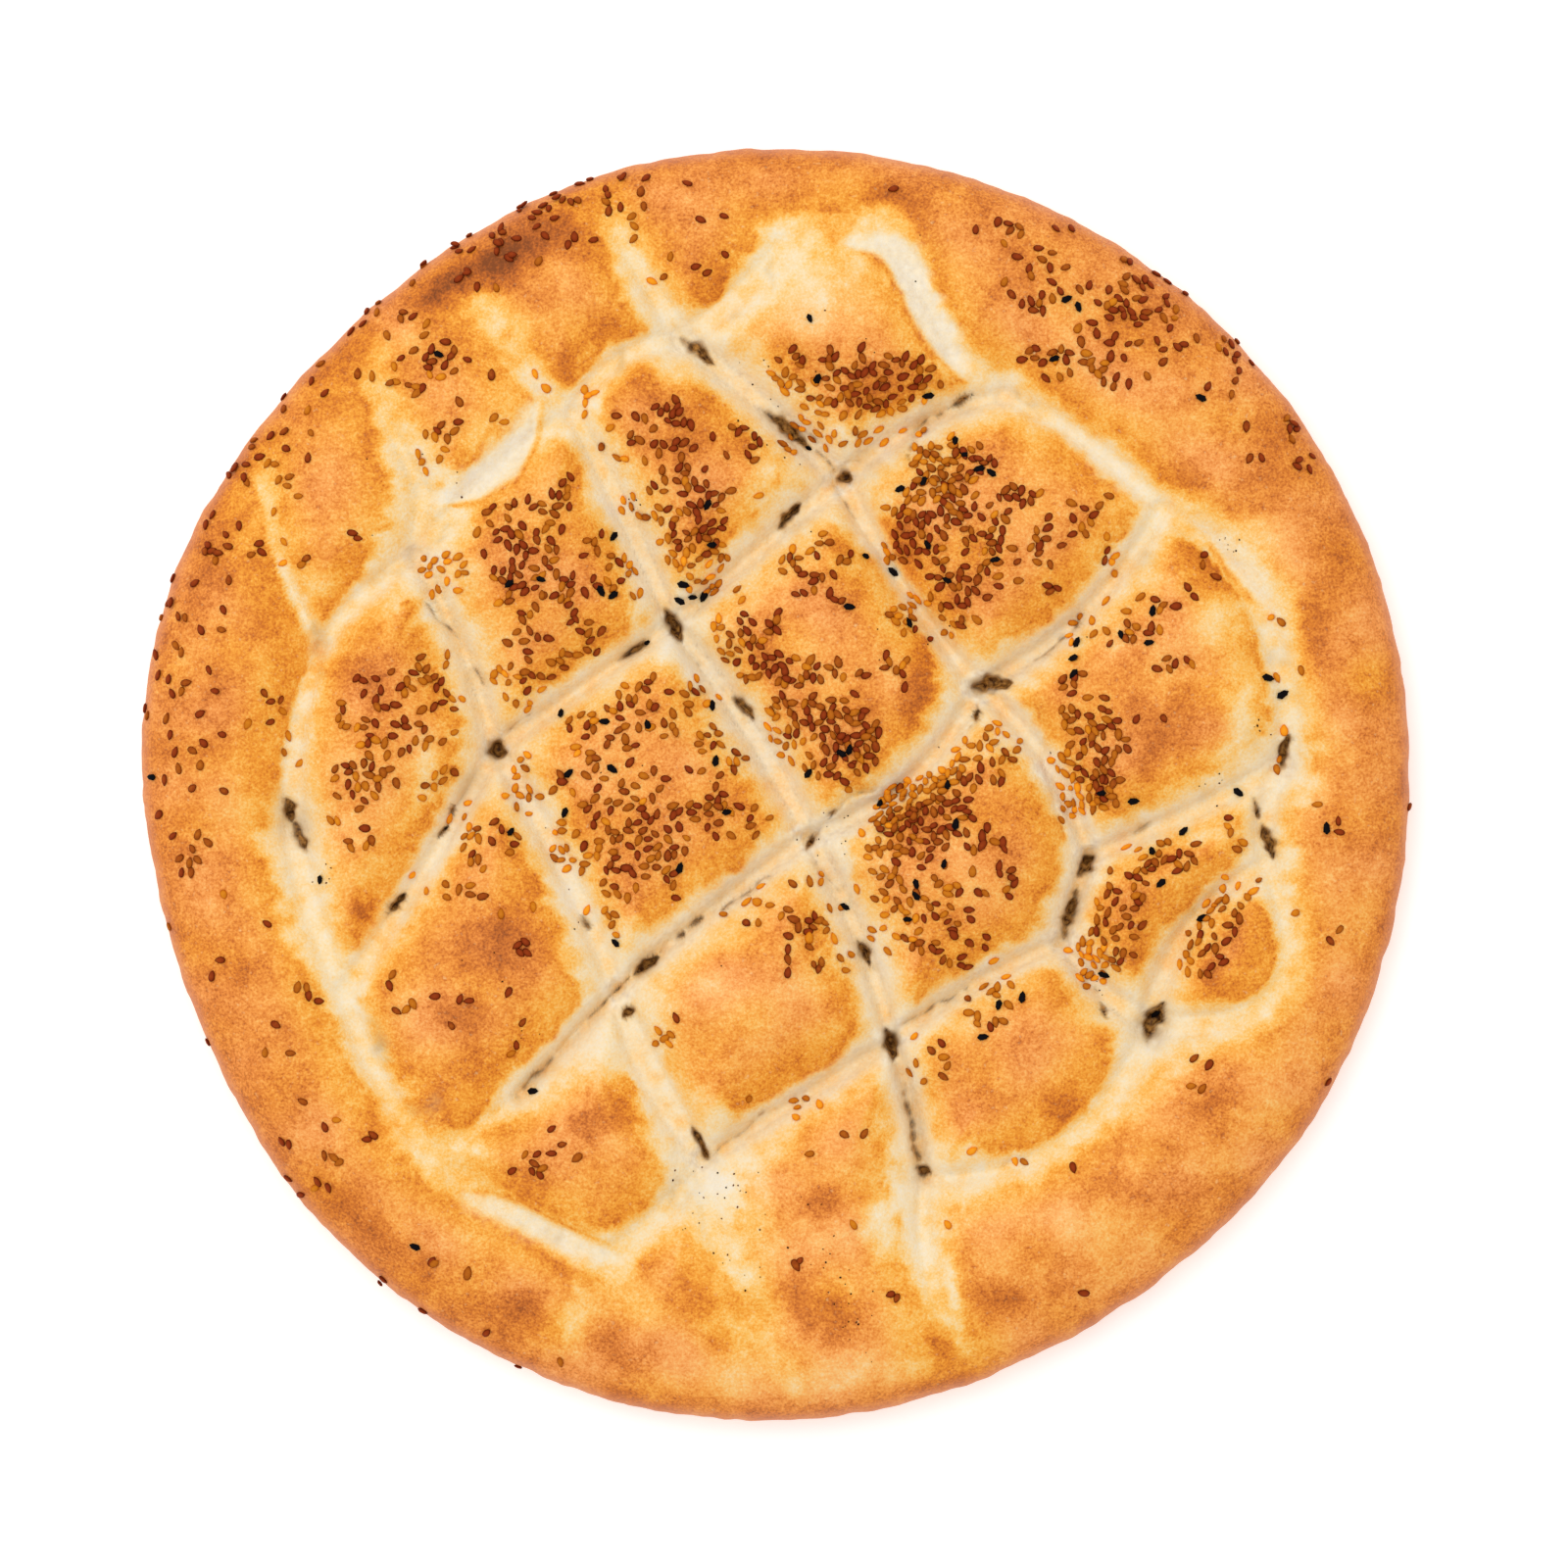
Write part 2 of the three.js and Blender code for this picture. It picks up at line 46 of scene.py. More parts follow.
MM = 0.001
VIEW_HEIGHT = 2.2  # metres from the table up to the eye
VIEW_WIDTH = 0.4  # metres of bread and table that the view takes in, at the bread's widest height
VIEW_LEVEL = 0.009
VIEW_ASIDE, VIEW_AWAY = 2.1, 0.2  # how far the middle of the view lies from the bread's, in millimetres
FILM_WIDTH = 36.0
TABLE_WIDTH = 9.0
TABLE_DROP = 0.0004
TABLE_GLOW = 0.25
ROOM_BRIGHTNESS = 0.78
LIGHT_PLACE = (-0.5, 0.6, 1.9)
LIGHT_WIDTH = 1.6
LIGHT_POWER = 16.0
FULL_WHITE = (1.0, 1.0, 1.0, 1.0)


def seen(red, green, blue):
    """The light that a surface of this look sends back, from the look's three 0 to 255 values."""
    shares = [value / 255 for value in (red, green, blue)]
    return [s / 12.92 if s <= 0.04045 else ((s + 0.055) / 1.055) ** 2.4 for s in shares] + [1.0]


def set_down(name, data):
    """Puts a mesh, a lamp or an eye into the scene."""
    thing = bpy.data.objects.new(name, data)
    bpy.context.scene.collection.objects.link(thing)
    return thing


def new_finish(thing, name, roughness, shine):
    """Gives a thing a finish of its own. Returns the finish's nodes, its wiring and its shader's inputs."""
    finish = bpy.data.materials.new(name)
    finish.use_nodes = True
    inputs = finish.node_tree.nodes["Principled BSDF"].inputs
    inputs["Roughness"].default_value = roughness
    inputs["Specular IOR Level"].default_value = shine
    thing.data.materials.append(finish)
    return finish.node_tree.nodes, finish.node_tree.links.new, inputs


bpy.context.scene.view_settings.view_transform = "Standard"

surroundings = bpy.data.worlds.new("soft_surroundings")
surroundings.use_nodes = True
background = surroundings.node_tree.nodes["Background"].inputs
background["Color"].default_value = FULL_WHITE
background["Strength"].default_value = ROOM_BRIGHTNESS
bpy.context.scene.world = surroundings

lamp = bpy.data.lights.new("broad_light", "AREA")
lamp.size = LIGHT_WIDTH
lamp.energy = LIGHT_POWER
lamp_object = set_down("broad_light", lamp)
lamp_object.location = LIGHT_PLACE
lamp_object.rotation_euler = (-lamp_object.location).to_track_quat("-Z", "Y").to_euler()

eye = bpy.data.cameras.new("eye")
eye.sensor_width = FILM_WIDTH
eye.lens = FILM_WIDTH * (VIEW_HEIGHT - VIEW_LEVEL) / VIEW_WIDTH
eye_object = set_down("eye", eye)
eye_object.location = (VIEW_ASIDE * MM, VIEW_AWAY * MM, VIEW_HEIGHT)
bpy.context.scene.camera = eye_object

table_form = bmesh.new()
bmesh.ops.create_grid(table_form, x_segments=1, y_segments=1, size=TABLE_WIDTH / 2)
bmesh.ops.translate(table_form, verts=table_form.verts[:], vec=(0, 0, -TABLE_DROP))
table_mesh = bpy.data.meshes.new("table")
table_form.to_mesh(table_mesh)
table_form.free()
table = set_down("table", table_mesh)
_, _, table_look = new_finish(table, "white_table", roughness=0.9, shine=0.0)
table_look["Base Color"].default_value = seen(252, 252, 252)
table_look["Emission Color"].default_value = FULL_WHITE
table_look["Emission Strength"].default_value = TABLE_GLOW

# ---- The bread -----------------------------------------------------------------------------------------
# One round of leavened wheat dough. The baker's fingertips press a slanting lattice of furrows into it, and
# between them it puffs up into pillows that the oven browns, while the dough in the furrows stays pale.

LOAF_RADIUS = 161.4
CROWN_HEIGHT = 26
EQUATOR_HEIGHT = 9  # where the bread is widest
RIM_WIDTH = 36
RIM_FULLNESS = 2.2
FOOT_INSET = 8  # how far the edge of the sole lies inside the outline
PILLOW_SHOULDER = 26
PILLOW_FULLNESS = 2.1
FURROW_FOOT = 0.1
FURROW_MERGE = 3
FURROW_STEP = 2
LEAST_THICKNESS = 4
LIP_HEIGHT = 0.55  # the rolled lips beside a furrow
LIP_ASIDE, LIP_WIDTH = 2.7, 1.3
FOLD_WIDTH = 1.1  # the sharp fold at the bottom of a furrow, between its lips
CREASE_DEPTH = 1.8
CREASE_SHADE_REACH = 1.2
SOLE_MARK_DEPTH = 0.25
OUTLINE_LOBES = [  # how many, how far they swell, and degrees
    (1, 0.5, 87), (2, 0.8, 53), (3, 0.5, 30), (4, 0.8, 76), (5, 0.6, 29), (6, 0.4, 43), (7, 0.3, 14),
]
MOUND_HEIGHT, MOUND_WIDE, MOUND_DEEP, MOUND_WANDER = 1.1, 21, 26, 34
ROLL_HEIGHT, ROLL_LENGTH = 0.8, 47

# What is uneven about the dough, as layers of lumps: each has its strength, its size and a number that
# starts its draws.
CRUST_BUMPS = [(0.35, 24, 1), (0.16, 9, 2), (0.07, 4.5, 3)]
SIDE_PUCKERS = [(0.25, 16, 7), (0.15, 7, 8), (0.07, 3.4, 9)]
PALE_WANDERING = [(0.2, 19, 11), (0.17, 9, 12), (0.1, 4, 13)]
TEAR_RAGGEDNESS = [(1, 7, 21), (0.5, 3, 26)]
MARK_WANDERING_X = [(2, 15, 51), (1, 6, 52)]
MARK_WANDERING_Y = [(2, 15, 53), (1, 6, 54)]
CRUST_CLOUDS = [(0.05, 52, 31), (0.075, 24, 32), (0.05, 11, 33), (0.03, 5.5, 34)]
FURROW_CLOUDS = [(0.05, 12, 35), (0.03, 5, 36)]
EDGE_CLOUDS = [(0.05, 30, 37), (0.05, 9, 38)]
SOLE_CLOUDS = [(0.16, 30, 40), (0.1, 11, 41)]

# Where furrows meet or run out: place, depth under the crown, width of the flat floor, and how far to each
# side of it the dough stays pale.
CROSSINGS = {
    "rim_north_west": (-45, 147, 2, 3, 3),
    "rim_north": (1, 136, 4, 4, 7),
    "tear_north": (26, 141, 3, 5, 6),
    "band_west": (-78, 122, 2, 2.5, 4),
    "slot_north": (-24, 113, 11, 5.5, 7),
    "tear_east": (45, 109, 5, 4, 4),
    "band_low_west": (-106, 106, 2, 2.5, 4),
    "saddle_west": (-52, 94, 8, 3, 5),
    "ring_north_east": (57, 99, 10, 3, 4.5),
    "rim_west": (-131, 82, 3, 2.5, 3),
    "saddle_low_west": (-90, 74, 7, 4, 8),
    "star_north": (16, 78, 14, 5, 8),
    "ring_east": (97, 70, 7, 3, 4.5),
    "star_west": (-92, 58, 11, 4, 8),
    "star_middle": (-27, 41, 14, 2.5, 6),
    "star_east": (51, 25, 14, 3, 7),
    "ring_far_east": (127, 32, 7, 4, 5),
    "ring_west": (-116, 35, 9, 2.5, 2.5),
    "well_west": (-72, 9, 14, 3.5, 7),
    "pinch_middle": (8, -13, 14, 3.5, 7),
    "star_far_east": (79, -18, 14, 2.5, 6),
    "slot_east": (128, 5, 11, 5, 7),
    "slot_west": (-123, -11, 11, 5, 7),
    "star_south_west": (-41, -52, 12, 3.5, 9),
    "star_south": (29, -65, 14, 2.5, 6),
    "crevice_foot": (72, -40, 14, 2.5, 6),
    "well_east": (95, -61, 12, 6, 9),
    "ring_low_west": (-110, -52, 7, 4, 5),
    "cut_south_west": (-66, -79, 10, 1, 5),
    "fork_south": (-19, -95, 12, 4, 9),
    "cut_south": (37, -100, 12, 2, 8),
    "ring_south_west": (-88, -93, 3, 3, 5.5),
    "tear_south_west": (-42, -119, 5, 4, 5),
    "ring_low_east": (124, -20, 8, 3.5, 6),
    "rim_south": (-7, -134, 1.5, 2.5, 3),
    "rim_south_east": (48, -147, 2, 2.5, 2),
}

# A furrow runs from one crossing to another. Its middle swings some way to the left of the straight line
# between them, and has its own depth, flat floor, and reach of pale dough to the left and to the right. The
# last number is how far the skin beside it has rolled up into two lips, from 0 to 1.
FURROWS = [
    ("rim_north_west", "slot_north", 0, 5.5, 3.5, 4, 6, 0.1),
    ("rim_north", "slot_north", 1, 7, 4, 11, 3.5, 0.1),
    ("rim_north", "tear_north", 1, 2.5, 3, 6, 7, 0),
    ("tear_north", "tear_east", 2, 4, 4, 2.5, 7, 0),
    ("tear_east", "ring_north_east", 1, 6.5, 2.5, 2.5, 4, 0.1),
    ("slot_north", "star_north", 1, 12, 4, 8, 7, 0.4),
    ("slot_north", "saddle_west", -5, 8, 2.5, 3, 3.5, 0.2),
    ("band_west", "saddle_west", -1, 3.5, 2, 3.5, 3, 0),
    ("ring_north_east", "star_north", -3, 12, 2, 8, 6, 0.5),
    ("band_low_west", "saddle_low_west", 0, 4, 2.5, 6, 3.5, 0),
    ("saddle_low_west", "star_west", 0, 9, 4, 8, 7, 0.1),
    ("saddle_west", "star_west", -2, 5, 3.5, 3, 6, 0.1),
    ("saddle_west", "star_middle", 1, 10, 4, 8, 6, 0.3),
    ("star_north", "star_east", -2, 10, 1.5, 2, 3, 0.3),
    ("star_north", "star_middle", 0, 11, 2, 7, 6, 0.4),
    ("rim_west", "ring_west", -3, 4, 2, 2, 1.5, 0),
    ("star_west", "ring_west", -2, 8, 3, 4.5, 3.5, 0.2),
    ("star_west", "well_west", 2, 10, 2, 8, 7, 0.4),
    ("star_middle", "well_west", 0, 10, 1.5, 5.5, 5, 0.5),
    ("star_middle", "pinch_middle", 2, 12, 4, 7, 8, 0.2),
    ("ring_north_east", "ring_east", 3, 6.5, 3, 3.5, 3.5, 0.2),
    ("ring_east", "star_east", 5, 11, 2, 7, 4.5, 0.6),
    ("ring_east", "ring_far_east", 4, 5, 3, 8, 1.5, 0.1),
    ("star_east", "pinch_middle", 6, 11, 2, 4, 7, 0.7),
    ("star_east", "star_far_east", 4, 10, 2.5, 4, 5, 0.8),
    ("ring_far_east", "slot_east", 2, 7, 4.5, 5, 5, 0.1),
    ("slot_east", "ring_low_east", -2, 10, 4, 6, 6, 0.2),
    ("ring_west", "slot_west", -3, 7, 3.5, 4, 2.5, 0.1),
    ("slot_west", "ring_low_west", -2, 6.5, 4, 6, 7, 0.1),
    ("well_west", "ring_low_west", 1, 10, 2.5, 5, 4, 0.3),
    ("well_west", "star_south_west", 2, 9, 3.5, 6, 7, 0.1),
    ("pinch_middle", "star_south_west", -1, 12, 1.5, 7, 5, 0.8),
    ("star_south_west", "cut_south_west", 0, 12, 1, 11, 4, 0.6),
    ("cut_south_west", "ring_south_west", 1, 4, 2, 2.5, 2, 0),
    ("ring_low_west", "ring_south_west", -3, 7, 3, 3.5, 4, 0.1),
    ("ring_south_west", "tear_south_west", -3, 4, 3, 3, 4, 0),
    ("star_south_west", "fork_south", -2, 9, 6, 8, 7, 0.1),
    ("fork_south", "star_south", 0, 11, 2, 3.5, 5, 0.7),
    ("fork_south", "tear_south_west", 2, 7, 4, 5, 4, 0.1),
    ("pinch_middle", "star_south", 2, 11, 3, 8, 8, 0.5),
    ("star_south", "cut_south", 1, 12, 2, 5, 8, 0.7),
    ("star_south", "crevice_foot", 2, 10, 2, 4, 5, 0.6),
    ("crevice_foot", "star_far_east", 0, 14, 2.5, 7, 4, 0.8),
    ("crevice_foot", "well_east", -2, 10, 3.5, 7, 6, 0.3),
    ("star_far_east", "slot_east", -1, 9, 3, 7, 4, 0.4),
    ("ring_low_east", "well_east", -7, 9, 2, 4, 4, 0.3),
    ("ring_low_east", "well_east", 20, 4, 2.5, 4, 2.5, 0.1),
    ("cut_south", "well_east", -12, 5, 3, 2.5, 4, 0.1),
    ("cut_south", "rim_south_east", -4, 4, 3, 4, 5, 0),
    ("fork_south", "rim_south", -3, 3, 3, 6, 4, 0),
]

# Where a furrow has pulled open into a pocket: middle, length, width, slant in degrees, and how deep it is
# and how dark its crust and its painted shade are, from 0 to 1.
POCKET_DEPTH = 5
POCKETS = [
    (-20.5, 110.5, 12, 4, -38, 0.8), (2, 90.8, 18, 3.8, -38, 0.95), (16.8, 78.3, 5, 4, 0, 0.9),
    (46.5, 97.8, 8, 2.4, 30, 0.6), (2.8, 68.6, 11, 3.2, 48, 1), (-26.5, 40.5, 12, 4.4, -62, 1),
    (-8.8, 20, 9, 3.4, -48, 0.9), (-36.5, 34.2, 11, 2.6, 30, 0.8), (-71.5, 8.5, 6, 5.6, 0, 1),
    (-83, -6.5, 4, 1.6, 70, 0.6), (-85.5, -12, 5, 1.8, 50, 0.7), (-97, -30, 9, 2.6, 50, 0.9),
    (-124.3, -6.3, 7, 4.4, -80, 1), (-121.7, -13, 11, 3.4, -66, 0.7), (-49, -35, 6, 2, -65, 0.5),
    (-21, -35, 6, 2, 35, 0.5), (-25, -38.5, 3.5, 2, 35, 0.5), (-33.8, -46, 9, 4, 36, 1),
    (-38, -58, 4.5, 3, 30, 0.9), (-20.3, -89.8, 9, 2.4, -62, 0.9), (-18.6, -93.5, 5, 2.2, -60, 0.9),
    (21.8, -42.5, 8, 3.2, -62, 1), (28.6, -66, 10, 4.4, -78, 1), (37, -98, 5.5, 3.6, -20, 0.9),
    (82.5, -57, 6, 2.4, -72, 0.6), (95.5, -60.5, 12, 6, 68, 1), (54.5, 25.6, 12, 5, 6, 1),
    (50.5, 17.5, 4, 1.8, 70, 0.9), (13.8, -7.3, 3.4, 2, 50, 0.6), (8, -15, 5, 2.2, 60, 0.7),
    (78.2, -20.5, 8, 4.6, 50, 1), (74.3, -33, 16, 3.6, 76, 0.9), (128.6, 8.5, 11, 3.2, 80, 1),
    (121.5, -6, 7, 2, -75, 0.6), (124.6, -14, 11, 3.6, -70, 1), (92.5, -11, 7, 2, 35, 0.35),
]

# Thin creases where two pillows press together: the line of each, its width, and how deep it is and how
# dark its painted shade is.
CREASES = [
    ([(9, 85.5), (12, 82), (15, 79)], 1.2, 0.9),
    ([(16, 77), (15.5, 75), (18, 70), (20, 67)], 1, 0.7),
    ([(17, 81), (20, 82.5), (24, 82)], 1, 0.4),
    ([(43, 95.5), (38, 93), (35, 90), (34, 87), (33, 82)], 1.1, 0.8),
    ([(-1, 63), (-4, 58), (-9, 55)], 1, 0.4),
    ([(-24, 35), (-19, 29), (-13, 23)], 0.9, 0.45),
    ([(-90, 47), (-86, 42), (-81, 37), (-79, 34)], 1, 0.8),
    ([(-77.5, 30), (-75.5, 27), (-74, 24.5)], 1.2, 0.9),
    ([(-70, 13), (-66, 16), (-61, 19.5)], 0.8, 0.6),
    ([(-77, 3), (-80, -2), (-83, -7)], 1.2, 0.4),
    ([(-1, -22.5), (-5, -25.5), (-10, -29), (-16, -32.5)], 1.1, 0.9),
    ([(-27, -40), (-31, -44)], 1, 0.5),
    ([(-37, -48.5), (-41, -52), (-46, -57.5), (-49, -60)], 1.1, 0.85),
    ([(-50, -61), (-54, -65.5), (-57, -69)], 0.9, 0.35),
    ([(-57, -69), (-60, -72.5), (-63, -75), (-65.5, -78.5)], 1.3, 0.9),
    ([(-18, -95), (-14, -91.5), (-8, -87), (-2, -82.5)], 1.1, 0.65),
    ([(-19, -97), (-23, -100), (-26, -103), (-28, -107)], 1, 0.4),
    ([(23.5, -45), (25, -49)], 1.1, 0.7),
    ([(49, -51), (45, -53.5), (40, -56), (35, -58.5), (31, -61.5)], 1.1, 0.75),
    ([(30.5, -70.5), (32, -76), (32.5, -80)], 0.8, 0.45),
    ([(32, -77), (34, -87), (35.3, -93), (36.2, -97)], 1.9, 1.3),
    ([(56, -98.5), (58.5, -96), (61, -95)], 1, 0.4),
    ([(80, -50), (82, -54)], 0.9, 0.5),
    ([(51.5, 23), (50.8, 20), (50, 16), (47.5, 13.5)], 1, 0.7),
    ([(79, 44.5), (76, 40.5), (72, 37), (68, 33.5), (64.5, 31)], 1.2, 0.85),
    ([(64.5, 31), (61, 27.5)], 1, 0.6),
    ([(26, -0.5), (21, -2), (17, -4.5), (14, -7.5), (11, -11), (8, -16)], 1.2, 0.6),
    ([(8, -19), (12, -23), (14.5, -25.5), (16.5, -28)], 1.1, 0.6),
    ([(66.5, 24), (66.5, 12), (68, 4), (70.5, -5), (73, -13)], 1, 0.35),
    ([(-118, 42), (-117, 36), (-118, 28)], 1.6, 0.4),
    ([(22, 65), (28, 57), (33, 50), (40, 40), (46, 31)], 1.2, 0.3),
]

# Where the skin of the dough tore as it rose and left a rough pale strip: points along it, each with its
# half width, the side of it, left or right along the line, on which the torn skin has browned, and how pale
# it is.
TEARS = [
    ([(18, 137, 1), (25, 136.5, 2.4), (31, 133.5, 3.8), (34, 127, 3.8),
      (37.4, 118.3, 3.4), (42.4, 110.7, 3), (47, 104, 1)], "right", 1),
    ([(-61, 97, 1), (-64.5, 88.6, 3.4), (-68.8, 81, 4.2), (-77, 75.5, 3.6), (-86, 72, 1.2)], "left", 0.75),
    ([(71, 92.5, 0.8), (75.3, 89, 2.4), (81.5, 83, 3.2),
      (89, 76.8, 2.8), (95.5, 71.5, 1)], "neither", 0.55),
    ([(108, 66, 0.8), (112, 61.5, 2), (116, 56.5, 2.6), (120.3, 51, 2.4), (124, 45, 1)], "right", 0.5),
    ([(-80, -104, 1), (-73, -106.5, 2.8), (-66, -109.5, 3.4),
      (-58, -113.5, 3), (-50, -117, 2.6), (-42, -119, 1)], "left", 0.55),
    ([(13, -9, 1), (15, -14, 1.8), (17.5, -22, 1)], "neither", 0.6),
    ([(-24.5, -88, 1), (-25.5, -95, 1.8), (-26.5, -101, 1)], "neither", 0.6),
]
TEAR_SINKING = 0.8
TEAR_ROUGHNESS = 0.22
TEAR_FADING = 2.6  # how far a torn strip fades into the dough on the side that hasn't browned

# How brown each kind of place is, from 0, raw pale dough, to 1, nearly burnt.
TOAST_IN_FURROW = 0.22
TOAST_ON_PILLOW = 0.6
TOAST_ON_RIM = 0.66
TOAST_ON_EDGE = 0.74
TOAST_UNDER_EDGE = 0.55
TOAST_ON_SOLE = 0.6
SCORCHED_TOAST = 0.76  # the skin along a tear
NEARLY_BURNT = 0.74  # browning slows down from here on
PALE_FROM, PALE_TO = 0.3, 1.7  # the dough browns between these distances from a furrow, in pale reaches
SHOULDER_AT, SHOULDER_SPREAD = 0.86, 0.14  # how far browned a shoulder is where it is darkest
HOT_AND_SHADED_SIDE = (0.95, -0.3)  # the way that the shoulders face which brown most and carry painted shade, and have the sharpest edge
# How strong the painted shade is beside pockets, beside creases and in the smudges.
PAINTED_SHADE_BY_POCKET, PAINTED_SHADE_BY_CREASE, PAINTED_SHADE_OF_SMUDGE = 0.24, 0.16, 0.8
WAN_IN_FURROW, WAN_ON_LIP, WAN_IN_TEAR = 0.45, 0.4, 0.42

